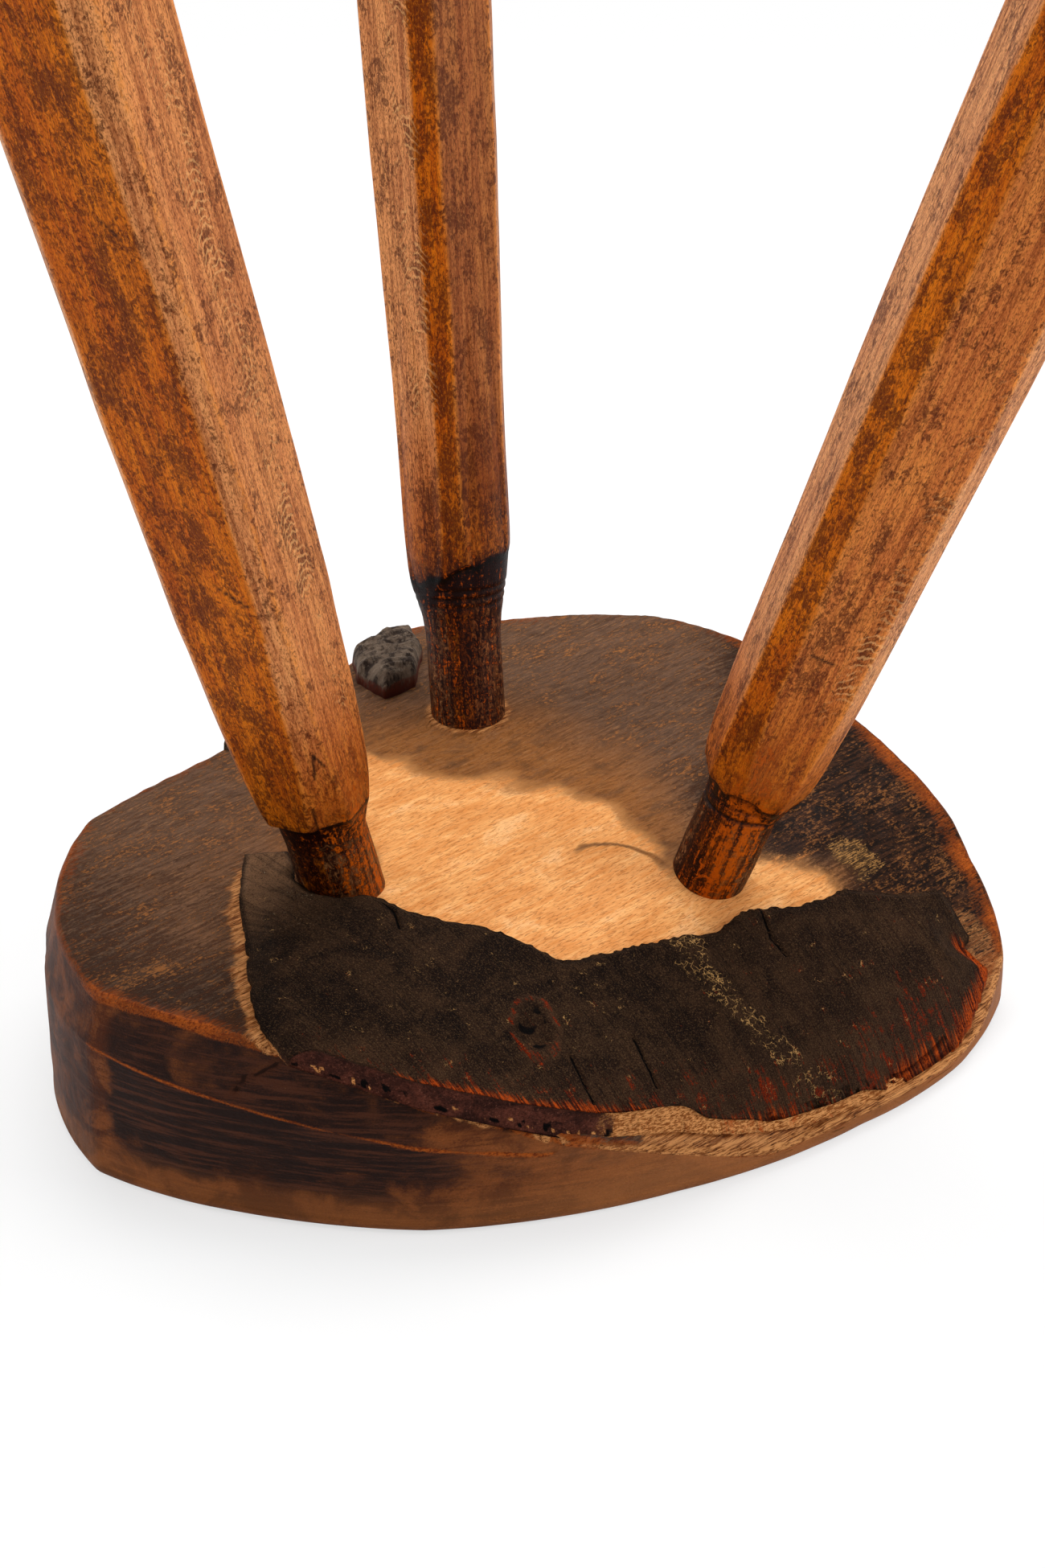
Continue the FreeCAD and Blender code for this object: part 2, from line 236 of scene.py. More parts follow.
class Paint:
    """A material with one Principled shader, whose varying sockets are fed by wires."""

    def __init__(self, name, **constants):
        self.material = bpy.data.materials.new(name)
        self.material.use_nodes = True
        self.tree = self.material.node_tree
        self.shader = next(n for n in self.tree.nodes if n.type == "BSDF_PRINCIPLED")
        for key, value in constants.items():
            self.shader.inputs[key.replace("_", " ")].default_value = value

    def add(self, kind, settings=None, sockets=None, output=0):
        """Any node: its settings first, then its sockets, as values or wires."""
        node = self.tree.nodes.new(kind)
        for key, value in (settings or {}).items():
            setattr(node, key, value)
        for key, value in (sockets or {}).items():
            self.feed(node.inputs[key], value)
        return Wire(self, node.outputs[output])

    def feed(self, socket, value):
        if isinstance(value, Wire):
            self.tree.links.new(value.socket, socket)
        else:
            socket.default_value = value

    def masks(self, *names):
        """The masks of the mesh that have these names."""
        return [self.add("ShaderNodeAttribute", {"attribute_name": name}, output=2)
                for name in names]

    def grain(self):
        """The place in the wood, in mm, its third axis along the fibres."""
        return self.add("ShaderNodeAttribute", {"attribute_name": "grain"}, output=1)

    def noise(self, where, cell, detail=2, rough=0.5, warp=0):
        """Noise whose cells have this size in mm along the three axes of the wood."""
        scaled = self.add("ShaderNodeVectorMath", {"operation": "MULTIPLY"},
                          {0: where, 1: tuple(1 / c for c in cell)})
        return self.add("ShaderNodeTexNoise", {}, {
            "Vector": scaled, "Scale": 1.0, "Detail": detail, "Roughness": rough,
            "Distortion": warp})

    def between(self, value, low, high):
        """0 at low and 1 at high, smooth at both ends; low may be the larger."""
        return self.add("ShaderNodeMapRange", {"interpolation_type": "SMOOTHSTEP"},
                        {"Value": value, "From Min": low, "From Max": high})

    def mix(self, share, first, second):
        """The first colour, with this share of the second; each is a wire or screen values."""
        first, second = (c if isinstance(c, Wire) else rgb(*c) for c in (first, second))
        return self.add("ShaderNodeMix", {"data_type": "RGBA"},
                        {0: share, 6: first, 7: second}, output=2)

    def layers(self, colour, *rows):
        """Colours laid over each other. A row holds a value, the two values between which
        its colour comes in, the share that the colour then has, and the colour."""
        for value, low, high, share, paint in rows:
            colour = self.mix(self.between(value, low, high) * share, colour, paint)
        return colour

    def finish(self, colour, roughness, height, distance):
        """Feed the shader; height is a wire in mm, distance how strongly it bends light."""
        self.feed(self.shader.inputs["Base Color"], colour)
        self.feed(self.shader.inputs["Roughness"], roughness)
        bump = self.add("ShaderNodeBump", {}, {"Height": height, "Distance": distance * MM,
                                               "Strength": 1.0})
        self.feed(self.shader.inputs["Normal"], bump)
        print("material", self.material.name, "with", len(self.tree.nodes), "nodes")
        return self.material


def rgb(red, green, blue):
    """A colour written as it looks on a screen, 0 to 255, for a shader: each channel c is
    (c / 255) ^ 2.2."""
    return tuple((c / 255) ** 2.2 for c in (red, green, blue)) + (1.0,)


# %% [markdown]
# ## Wood of the legs
# The legs are beech that hands have polished: honey brown, darker where grime sat, orange and
# shiny on the arrises. Light is painted into the colour as well: each of the eight sides has
# its own painted sheen and painted shade, the neck a painted lit side, and the band just under
# the shoulder a painted shadow. Beech has short dark flecks along the grain. The wood is painted
# in the leg's own frame, kept in the attribute "grain", so the streaks follow the splay.

# %% Leg wood


def leg_wood():
    p = Paint("leg_wood", Coat_Weight=0.08, Coat_Roughness=0.30, Specular_IOR_Level=0.06)
    grain = p.grain()
    cloud = p.noise(grain, (14, 14, 50), 3)
    streak = p.noise(grain, (1.7, 1.7, 90), 4, 0.6)
    line = p.noise(grain, (0.5, 0.5, 8), 3, 0.6)
    patch = p.noise(grain, (8, 8, 14), 3)
    mottle = p.noise(grain, (1.7, 1.7, 2.6), 5, 0.66, 0.9)
    speck = p.noise(grain, (0.65, 0.65, 1.2), 5, 0.70)
    fleck = p.noise(grain, (0.28, 0.28, 1.7), 1)
    turned = p.noise(grain, (9, 9, 0.7), 3, 0.6)
    wander = p.noise(grain, (3, 3, 7), 3)
    arris, dirt_and_shadow, stain, glow, ink = p.masks("arris", "dirt_and_shadow", "stain", "glow", "ink")
    ray, scale, sheen_tone, shade = p.masks("ray", "scale", "sheen_tone", "shade")

    # The pale pink that these colours turn to is painted sheen on the sides that face the lamps; the deep
    # amber is the wood's own colour, deeper lower down where grime sat.
    honey = p.mix(sheen_tone, (228, 126, 18), (234, 164, 104))
    spots = mottle * 0.6 + patch * 0.4 + stain * 0.045 - sheen_tone * 0.04
    wood = p.layers(
        p.mix(sheen_tone, (192, 90, 5), (206, 134, 84)),
        (cloud, 0.42, 0.60, 0.4, honey),
        (streak, 0.48, 0.64, 0.5, honey),
        (streak, 0.50, 0.38, 0.5, (112, 46, 4)),
        (line, 0.52, 0.64, 0.4, (118, 54, 12)),
        (spots, 0.485, 0.56, 0.72, (74, 28, 4)),
        (speck, 0.53, 0.61, 0.55, (88, 34, 5)),
        (speck, 0.46, 0.37, 0.45, honey),
        (fleck, 0.60, 0.66, 0.55, (70, 26, 5)))
    # Painted shade: the sides turned from the lamps darken towards this brown; lower down the same mix is
    # grime, and on the end faces brown end grain.
    wood = p.mix(shade * (0.55 + 0.5 * patch), wood, (78, 36, 14))
    wood = p.mix(arris * p.between(mottle, 0.60, 0.42) * 0.55, wood, (232, 138, 52))
    wave = p.between((scale * 2.1 + wander * 14).sine(), 0.35, 0.95)
    wood = p.mix(ray * wave * p.between(patch, 0.44, 0.58) * 0.5, wood, (240, 178, 112))
    # The glow mask is painted light on one side of the neck: there the neck's wash runs to lit amber,
    # elsewhere to near black.
    lit = glow + (mottle - 0.5) * 3.0 + (streak - 0.5) * 2.0 + (turned - 0.5) * 0.8
    deep = p.mix(p.between(lit + (speck - 0.5) * 1.6, 0.25, 0.95), (30, 7, 1), (186, 84, 6))
    # The neck's wash is grime; where the mask passes 0.74, just under the shoulder, it turns near black:
    # painted shadow under the overhanging sides.
    wood = p.layers(wood, (dirt_and_shadow + (mottle - 0.5) * 0.9, 0.10, 0.60, 1, deep),
                    (dirt_and_shadow + (speck - 0.5) * 0.4, 0.74, 1.05, 1, (9, 3, 2)))
    wood = p.mix(ink * 0.9, wood, (22, 7, 3))
    roughness = 0.48 + 0.20 * mottle - 0.10 * arris - 0.12 * dirt_and_shadow
    height = (line * 0.3 + speck * 0.5 + turned * dirt_and_shadow * 0.6
              - p.between(fleck, 0.58, 0.66) * 0.4)
    return p.finish(wood, roughness, height, 0.45)


LEG_WOOD = leg_wood()

# %% [markdown]
# ## Wood of the seat
# The hewn underside went brown and black with dirt and smoke, and the middle, rubbed bare
# again, is pale. The walls facing front right are painted paler, as painted light, and the
# orange lines on the crease of the bevel and on the upright corner are worn wood with a painted
# highlight. Where each tone lies is worked out with the shape, as a mask, and the fine
# grain is added here, along the log's own direction.

# %% Seat wood


def seat_wood():
    p = Paint("seat_wood", Coat_Weight=0.04, Coat_Roughness=0.3, Specular_IOR_Level=0.06)
    grain = p.grain()
    streak = p.noise(grain, (1.2, 1.2, 13), 5, 0.62)
    line = p.noise(grain, (0.45, 0.45, 6), 4, 0.65)
    blot = p.noise(grain, (13, 13, 20), 6, 0.62, 0.5)
    speck = p.noise(grain, (1.0, 1.0, 1.9), 6, 0.72)
    fleck = p.noise(grain, (0.33, 0.33, 2.2), 1)
    level = p.noise(grain, (26, 1.7, 26), 5, 0.62)
    fresh, tan, soot, rim = p.masks("fresh", "tan", "soot", "rim")
    crumb, wall, ink, crust = p.masks("crumb", "wall", "ink", "crust")

    pale = p.layers(
        p.mix(p.between(streak, 0.36, 0.68), (240, 174, 108), (222, 144, 78)),
        (blot, 0.42, 0.62, 0.45, (206, 126, 62)),
        (blot, 0.46, 0.34, 0.5, (250, 196, 138)),
        (line, 0.52, 0.68, 0.45, (188, 112, 56)),
        (fleck, 0.58, 0.66, 0.5, (150, 82, 38)))
    brown = p.layers(
        p.mix(tan, (98, 73, 57), (150, 94, 48)),
        (streak, 0.46, 0.66, 0.45, (70, 45, 29)),
        (speck, 0.51, 0.62, 0.5, (56, 36, 24)),
        (line, 0.46, 0.34, 0.55, (172, 120, 76)),
        (streak, 0.50, 0.42, 0.2, (140, 102, 76)),
        (blot, 0.48, 0.62, 0.55, (78, 56, 42)),
        (fresh, 0.05, 0.45, 0.6, (192, 132, 78)))
    black = p.mix(p.between(streak * 0.7 + speck * 0.3, 0.44, 0.62), (30, 19, 13), (70, 44, 29))
    boards = line * 0.4 + level * 0.6
    side = p.layers(
        p.mix(p.between(blot, 0.42, 0.60), (132, 74, 38), (92, 48, 26)),
        (boards, 0.52, 0.62, 0.6, (166, 96, 50)),
        (boards, 0.48, 0.40, 0.6, (60, 31, 18)))
    fibre = p.layers(
        p.mix(p.between(line * 0.6 + streak * 0.4, 0.42, 0.58), (220, 152, 92), (132, 74, 34)),
        (streak, 0.54, 0.64, 0.6, (96, 50, 24)),
        (speck + line - 0.5, 0.60, 0.70, 0.8, (56, 30, 16)))
    worn_and_highlit = p.mix(p.between(speck, 0.40, 0.62), (190, 94, 30), (104, 46, 16))
    dark = p.mix(p.between(level * 0.8 + line * 0.2, 0.46, 0.62), (42, 26, 21), (84, 48, 32))
    splinter = p.mix(blot, (150, 92, 48), (206, 132, 70))
    crusty = p.mix(p.between(line, 0.4, 0.56), (172, 124, 70), (62, 44, 28))

    edge = fresh + (streak - 0.5) * 0.8 + (speck - 0.5) * 0.7 + (blot - 0.5) * 0.7
    chip = p.between(speck * 0.7 + line * 0.3 + blot * 0.35 - tan * 0.03, 0.705, 0.79)
    chip = chip * (1 - fresh) * (1 - 0.35 * soot)
    top = p.layers(brown, (soot + (streak + speck - 1) * 0.9, 0.25, 0.75, 1, black),
                   (edge, 0.32, 0.76, 1, pale))
    top = p.mix(chip * 0.62, top, splinter)
    grime = soot + (blot - 0.5) * 1.2 + (level - 0.5) * 1.4
    # On the wall this pale brown is painted light on the walls facing front right, and paler wood near
    # the foot.
    side = p.mix(tan * 0.6, p.layers(side, (grime, 0.20, 0.80, 1, dark)), (176, 112, 66))
    # The rim mask paints rubbed orange wood; on the crease of the bevel and the upright corner that
    # orange is also a painted highlight.
    colour = p.layers(
        p.mix(wall, top, side),
        (rim + (speck - 0.5) * 1.1 + (line - 0.5) * 0.6, 0.42, 0.80, 1, worn_and_highlit),
        (crumb + (line - 0.5) * 0.9 + (speck - 0.5) * 0.4, 0.34, 0.60, 1, fibre),
        (crust + (speck - 0.5) * 3.4, 0.60, 0.84, 1, crusty),
        (ink + (speck - 0.5) * 0.5, 0.35, 0.75, 0.9, (40, 22, 13)))
    roughness = 0.62 - 0.08 * soot + 0.12 * streak - 0.14 * wall
    height = (streak * 0.5 + line * 0.4 + speck * 1.2 * (1.15 - fresh) + blot * 0.3
              - p.between(fleck, 0.58, 0.66) * 0.15)
    return p.finish(colour, roughness, height, 0.8)


SEAT_WOOD = seat_wood()

# %% [markdown]
# ## Bark
# The skin of the log is nearly black and burnished on its round face. Where it broke off, the
# thin edge lets light through and is red, and the cut side along the rim is purple brown.

# %% Bark material


def bark_skin():
    p = Paint("bark_skin", Coat_Weight=0.0, Specular_IOR_Level=0.05)
    grain = p.grain()
    blot = p.noise(grain, (12, 12, 14), 7, 0.62, 0.6)
    patch = p.noise(grain, (5, 5, 5), 4, 0.6)
    score = p.noise(grain, (30, 30, 0.8), 4, 0.6)
    scar = p.noise(grain, (22, 22, 0.9), 2, 0.55)
    line = p.noise(grain, (0.45, 0.45, 6), 4, 0.65)
    speck = p.noise(grain, (0.8, 0.8, 0.8), 6, 0.72)
    grit = p.noise(grain, (0.55, 0.4, 0.5), 4, 0.75)
    edge, side, gold, red = p.masks("edge", "side", "gold", "red")
    grey, ink, bare = p.masks("grey", "ink", "bare")
    bent = p.add("ShaderNodeTexNoise", {}, {"Vector": grain, "Scale": 0.35, "Detail": 3.0}, 1)
    bent = p.add("ShaderNodeVectorMath", {"operation": "MULTIPLY_ADD"},
                 {0: bent, 1: (6, 6, 6), 2: grain})
    cells = p.add("ShaderNodeTexVoronoi", {"feature": "DISTANCE_TO_EDGE"},
                  {"Vector": bent, "Scale": 0.36})

    old = p.mix(p.between(blot, 0.4, 0.62), (116, 84, 60), (70, 50, 36))
    skin = p.mix(p.between(blot, 0.38, 0.64), (26, 16, 10), (54, 38, 26))
    skin = p.mix(grey, p.mix(red * 0.5, skin, (88, 60, 42)), old)
    skin = p.layers(
        skin,
        (score, 0.54, 0.62, 0.4, (12, 8, 6)),
        (grit, 0.50, 0.40, 0.6, (11, 7, 5)),
        (grit, 0.53, 0.64, 0.6, (98, 74, 52)),
        (speck, 0.60, 0.70, 0.45, (120, 88, 60)),
        (speck * 0.6 + blot * 0.5, 0.64, 0.68, grey, (186, 168, 140)))
    torn = p.mix(p.between(speck + score - 0.5, 0.38, 0.62), (172, 70, 20), (60, 20, 9))
    cut = p.layers(
        p.mix(p.between(blot, 0.4, 0.62), (98, 54, 42), (52, 30, 25)),
        (line, 0.46, 0.58, 0.5, (44, 24, 20)),
        (speck, 0.52, 0.64, 0.7, (30, 15, 11)),
        (speck, 0.44, 0.34, 0.5, (142, 88, 70)))
    fibre = p.layers(
        p.mix(p.between(line, 0.42, 0.58), (222, 154, 94), (138, 78, 38)),
        (speck, 0.58, 0.66, 0.7, (70, 38, 20)))

    rust = p.mix(p.between(grit, 0.4, 0.6), (132, 44, 12), (62, 22, 11))
    ember = red + (scar - 0.5) * 1.6 + (patch - 0.5) * 2.0 + (speck - 0.5) * 1.6
    crackle = p.between(cells, 0.055, 0.015) * p.between(
        gold + (patch - 0.5) * 4.0 + (speck - 0.5) * 1.6, 0.54, 0.90)
    colour = p.mix(crackle * 0.9, p.layers(skin, (ember, 0.62, 0.95, 1, rust)), (196, 150, 92))
    colour = p.layers(
        p.mix(side, colour, cut),
        (edge + (speck + scar - 1) * 1.1, 0.42, 0.80, 1, torn),
        (bare + (speck - 0.5) * 0.8, 0.35, 0.65, 1, fibre),
        (ink + (speck - 0.5) * 0.6, 0.3, 0.7, 1, (12, 8, 6)))
    roughness = 0.58 + 0.22 * blot - 0.08 * side
    height = (blot * 0.8 + speck * 0.7 + grit * 0.4 - p.between(score, 0.50, 0.62) * 0.3
              + crackle * 0.5)
    return p.finish(colour, roughness, height, 0.8)


def bark_crust():
    p = Paint("bark_crust", Specular_IOR_Level=0.2)
    grain, (edge,) = p.grain(), p.masks("edge")
    blot = p.noise(grain, (3.5, 3.5, 9), 6, 0.65, 0.4)
    speck = p.noise(grain, (1.0, 1.0, 1.8), 6, 0.7)
    # The steep sides and the underside of a bit are painted dark red brown: painted shade under the lump.
    colour = p.layers(
        p.mix(p.between(blot, 0.40, 0.60), (104, 88, 74), (44, 33, 26)),
        (speck, 0.55, 0.68, 0.6, (142, 126, 108)),
        (edge + (speck - 0.5), 0.5, 0.9, 1, (84, 36, 20)))
    return p.finish(colour, 0.75 + 0.1 * speck, blot * 0.9 + speck * 0.5, 0.8)


BARK_SKIN, BARK_CRUST = bark_skin(), bark_crust()

# %% [markdown]
# ## The legs
# Each leg is a squared taper with its corners shaved off, cut down with a knife to a round
# neck. The radius at an angle is the smallest of many plane cuts: a flat side at distance h
# is met at h / cos(angle from its normal). A p-norm instead of the minimum rounds the
# arrises, as hands have done. Heights run along the leg from the plane of the underside.

# %% Legs
TOTAL_HEIGHT, SEAT_THICK = 450, 67
STATIONS = (-85, 50, 120, 200, 430)
# out and azimuth are where a leg leaves the wood, turn is the angle of its first broad side,
# bevel the narrow sides against the broad ones (sharp: some lie further out below t = 240),
# wide the width at the stations. The knife stopped at shoulder, later by lean towards tilted,
# uneven by scallop, and without a step at blend. neck and flare are (height, diameter), rings
# (height, depth), cracks (way round from front, height). flame, stain, glow and front are
# angles round the leg; glow is where the neck has its painted lit side. The sheen list and the
# shade list give its eight sides a painted sheen and a painted shade, and the neck light number
# is how strong the painted light on its neck is.
LEGS = {
    "left": dict(azimuth=-138.8, splay=15.4, out=71, turn=23, bevel=1.19, sharp={1: 0.07},
                 wide=(30, 36, 40.7, 44.1, 50.7), tip=23, shoulder=38, lean=1.5, tilted=30,
                 scallop=1.0, blend=139,
                 neck=[(0, 27), (26, 27), (33, 28.2), (39, 31), (46, 35)],
                 flare=[(33, 31.5), (38, 33.6), (44, 36.4), (52, 39.4), (60, 41.5), (104, 48.5)],
                 rings=[(24, 0.25)], flame=116, stain=10, glow=112, front=62,
                 side_sheens=(0.0, 0.8, 0.7, 0.6, 0.5, 0.5, 0.6, 1.0),
                 shades=(0, 0, 0, 0, 0.3, 0.3, 0.3, 0), painted_neck_light=0.62,
                 cracks=[[(-2.5, 37), (-2, 50)], [(1.5, 62), (3, 72), (5.5, 66)],
                         [(-10, 142), (-2, 135)], [(-9, 272), (-5, 266)]]),
    "back": dict(azimuth=101.5, splay=16.5, out=71, turn=30, bevel=1.13, sharp={3: 0.05},
                 wide=(29, 32.1, 33.5, 38.2, 44.6), tip=22.5, shoulder=54.5, lean=5.2,
                 tilted=250, scallop=3.0, blend=90,
                 neck=[(0, 26.2), (29, 26.2), (36, 27.8), (42, 30.2), (48, 32.6), (60, 35.8)],
                 flare=[(44, 33), (50, 34.6), (54, 36), (60, 37.4), (80, 46)],
                 rings=[(47.5, 0.35), (44.5, 0.45), (41.5, 0.25)], flame=143, stain=175,
                 glow=146, front=170, side_sheens=(0.6, 0.9, 0.8, 0.0, 0.5, 0.8, 0.6, 0.6),
                 shades=(0.2, 0, 0, 0.05, 0.62, 0.25, 0.3, 0.3), painted_neck_light=0.14, cracks=[]),
    "right": dict(azimuth=-18.8, splay=19.7, out=74.2, turn=24, bevel=1.14, sharp={},
                  wide=(29, 37, 40.6, 45.5, 56), tip=22, shoulder=31, lean=1.0, tilted=200,
                  scallop=2.4, blend=0,
                  neck=[(0, 25.6), (19, 25.6), (25, 26.6), (31, 29), (38, 32.5)],
                  flare=[(26, 30), (31, 32.5), (37, 36), (46, 39), (60, 41.5), (80, 48)],
                  rings=[(21.5, 0.75), (26, 0.3)], flame=-38, stain=220, glow=-70, front=-87,
                  side_sheens=(0.6, 0.7, 0.6, 0.6, 1.0, 0.0, 0.35, 0.95),
                  shades=(0, 0.2, 0.3, 0.3, 0, 0, 0, 0), painted_neck_light=0.72,
                  cracks=[[(0, 95), (8, 93.5)]]),
}
AROUND, ALONG, CAP = 196, 480, 5    # points round a leg, rings along it, rings in an end face
SINK = 0.15             # how far the tenons stop short of the sitting face
ROUNDING = 46           # the p of the p-norm
GROOVE = 0.75           # half width of a ring groove


def leg_axes(azimuth, splay):
    """The leg's own axes: X outwards and down, Y sideways, Z along the leg."""
    a, s = np.radians(azimuth), np.radians(splay)
    x = np.array([np.cos(s) * np.cos(a), np.cos(s) * np.sin(a), -np.sin(s)])
    z = np.array([np.sin(s) * np.cos(a), np.sin(s) * np.sin(a), np.cos(s)])
    return x, np.cross(z, x), z


def least(*values, p=ROUNDING):
    """A minimum with rounded corners: (sum of value^-p)^(-1/p)."""
    return sum(value ** -p for value in values) ** (-1 / p)


def leg_radius(leg, t, angle, seed):
    """Radius at height t and an angle, how near an arris is, the height above the line where
    the knife stopped, and which side it is. Above that line are eight sides, below it a round
    neck. On one side of the leg the knife ran out without a step."""
    wide = np.interp(t, STATIONS, leg["wide"])
    flare = np.interp(t, *np.array(leg["flare"], float).T) / 2
    flare = flare + 30 * step(t, leg["flare"][-1][0], leg["flare"][-1][0] + 80)
    sides = []
    for k in range(8):
        normal = np.radians(leg["turn"] + 45 * k)
        bevel = leg["bevel"] + leg["sharp"].get(k, 0) * step(t, 340, 240) if k % 2 else 1
        reach = bevel * wide / 2 + 0.30 * noise(t, 0, 0, 48, seed + k, 2)
        limit = flare + 0.35 * noise(t, 0, 0, 20, seed + 20 + k, 2)
        sides.append(least(reach, limit, p=24) / np.maximum(np.cos(angle - normal), 0.2))
    shaft = least(*sides)
    first, second = np.sort(np.stack(sides), axis=0)[:2]
    facet = np.argmin(np.stack(sides), axis=0)
    arris = 1 - step(second / first, 1.0, 1.045)

    turn = np.stack([np.cos(angle), np.sin(angle)]) + 0 * t
    scoop = np.abs(noise(turn[0] * 2, turn[1] * 2, 0, 1.0, seed + 40, 2))
    above = (t - leg["shoulder"] - leg["scallop"] * 2 * (scoop - 0.3)
             - leg["lean"] * np.cos(angle - np.radians(leg["tilted"])))
    neck = np.interp(t, *np.array(leg["neck"], float).T) / 2
    tenon = (leg["neck"][0][1] - leg["tip"]) / 2 * np.clip(-t / 70, 0, 1)
    neck = neck - tenon + 0.10 * noise(turn[0] * 13, turn[1] * 13, t, (4, 4, 9), seed + 50, 2)
    for height, depth in leg["rings"]:
        neck = neck - depth * np.exp(-((t - height - 0.8 * turn[0]) / GROOVE) ** 2)
    soft = 12 * step(np.cos(angle - np.radians(leg["blend"])), 0.3, 0.95)
    radius = neck + np.maximum(shaft - neck, 0) * step(above, -0.9 - soft, 0.6)
    return radius, arris * step(above, 2, 18), above, facet


def capped(rings):
    """The rings with an end face at both ends, where the last ring shrinks to its middle."""
    shrink = np.linspace(0.08, 1, CAP, endpoint=False)[:, None, None]
    low, high = (ring.mean(0) + shrink * (ring - ring.mean(0)) for ring in rings[[0, -1]])
    return np.concatenate([low, rings, high[::-1]])


def leg_piece(side, seed):
    """The leg as rings along its axis. Each ring runs between the sitting face and the plane
    of the feet: t = (z - thickness + r cos(angle) sin(splay)) / cos(splay)."""
    leg = LEGS[side]
    ax, ay, az = leg_axes(leg["azimuth"], leg["splay"])
    origin = np.array([*polar((0, 0), leg["out"], np.radians(leg["azimuth"])), SEAT_THICK])
    angle = np.linspace(0, 2 * np.pi, AROUND, endpoint=False)[None, :]
    low, high = np.full_like(angle, -75), np.full_like(angle, 400)      # first guesses
    for _ in range(4):
        low, high = ((z - SEAT_THICK - leg_radius(leg, t, angle, seed)[0] * np.cos(angle) * ax[2])
                     / az[2] for z, t in ((SINK, low), (TOTAL_HEIGHT, high)))
    dense = np.interp(column(0, 1, ALONG), [0, 0.08, 0.52, 1], [0, 0.15, 0.42, 1])
    t = low + dense * (high - low)
    angle = np.broadcast_to(angle, t.shape)
    radius, arris, above, facet = leg_radius(leg, t, angle, seed)
    x, y = radius * np.cos(angle), radius * np.sin(angle)
    dent = 0.10 * noise(x, y, t, (5, 5, 22), seed + 60, 3)
    x, y = x * (1 + dent / radius), y * (1 + dent / radius)
    points = capped(origin + x[..., None] * ax + y[..., None] * ay + t[..., None] * az)

    # Nothing may stand out of the CAD box, so the points are held inside it.
    low_corner, high_corner = np.array(cad_box) / MM
    points = np.clip(points, low_corner + [0.02, 0.02, 0], high_corner - 0.02)

    def beyond(key):
        """The way round the leg from one of its marked angles."""
        return (angle - np.radians(leg[key]) + np.pi) % (2 * np.pi) - np.pi

    # Grime sits on the neck and lower down, and fades above the shoulder; the near-black band just under
    # the shoulder is painted shadow of the overhanging sides.
    blotch = noise(x, y, t, (12, 12, 26), seed + 70, 3)
    below = step(above, 0.8, -0.6)
    lower = (1 - below) * step(above, 70, 8)
    dirt_and_shadow = (0.52 * below + 0.55 * below * np.exp(above / 5.0)
            + 0.30 * (1 - below) * np.exp(-np.maximum(above, 0) / 9.0)
            + 0.16 * step(blotch, 0.3, 0.7) + lower * (0.10 + 0.10 * step(blotch, -0.3, 0.4)))
    stain = step(np.abs(beyond("stain")), 0.9, 0.3) * step(blotch, -0.4, 0.3)

    # Ink draws the cracks and the scribed rings, and rays are the flames of the grain.
    ink = np.zeros_like(t)
    for crack in leg["cracks"]:
        ink = np.maximum(ink, step(near(beyond("front") * radius, t, crack), 0.75, 0.15))
    for height, depth in leg["rings"]:
        ring = np.abs(t - height - 0.8 * np.cos(angle))
        ink = np.maximum(ink, min(depth, 0.5) * 1.8 * step(ring, 1.5, 0.2) * below)
    beside = np.abs(beyond("flame")) * radius
    patches = noise(x, y, t, (60, 60, 70), seed + 80)
    ray = step(beside, 7, 3) * step(t, 60, 90) * step(patches, -0.5, 0.2)
    # The sheen and shade masks paint light by sides: a painted sheen and a painted shade for each side,
    # giving way to grime lower down; glow paints the lit side of the neck.
    masks = {"arris": arris, "dirt_and_shadow": np.clip(dirt_and_shadow, 0, 1.1), "stain": stain, "ray": ray,
             "scale": t + 0.12 * beside ** 2, "ink": ink,
             "sheen_tone": np.array(leg["side_sheens"])[facet] * (1 - 0.85 * lower),
             "shade": np.array(leg["shades"])[facet] * step(above, 0, 30) + 0.35 * lower,
             "glow": leg["painted_neck_light"] * np.cos(beyond("glow")) ** 3}
    for key, mask in masks.items():
        flat = np.full((CAP, AROUND), 0.8 if key in ("sheen_tone", "shade") else 0.0)
        masks[key] = np.concatenate([flat, mask, flat])
    masks["grain"] = capped(np.stack([x + 100 * seed, y, t], -1))
    mesh_piece("leg_%s_worked" % side, points, masks, LEG_WOOD, "leg_" + side)


for number, side in enumerate(LEGS):
    leg_piece(side, 3 + 10 * number)

# %% [markdown]
# ## The seat
# One slab, split and hewn: its outline is the CAD outline of straight hewn runs and arcs. The
# whole skin is one sheet of rings round the middle: across the underside, over the worn
# edge, down the wall and in again under the sitting face. Noise along the log makes the
# hewn ridges, and the same places give the masks for dirt and wear.

# %% Outline of the seat
# x and y of each corner, and the radius of the run to the next one, 0 where it is straight.
SEAT_OUTLINE = [
    (-131, -113, 150), (-87, -134, 240), (-26, -144.5, 225), (53, -124.5, 223),
    (117, -86.5, 150), (152, -52, 140), (169, -14, 60), (160, 14, 150), (145.5, 45, 0),
    (123, 79, 0), (88, 131, 110), (57, 149, 115), (14, 150, 0), (-33, 143, 26),
    (-50, 128, 0), (-101, 49, 0), (-134, 12, 0), (-146, -4, 120), (-151, -55, 110),
]
GRAIN = np.radians(43)              # the way of the log
LOG_RADIUS, CROWN_OFF, THIN_EDGE = 172, 7, 7
UPRIGHT, BEVEL = 48, 5              # height of the wall, and how far the bevel leans in
FOOT_UP, FOOT_IN = 4, 2             # the worn edge round the sitting face
MIDDLE = np.array([8.0, 2.0])       # where the rings of the skin have their middle


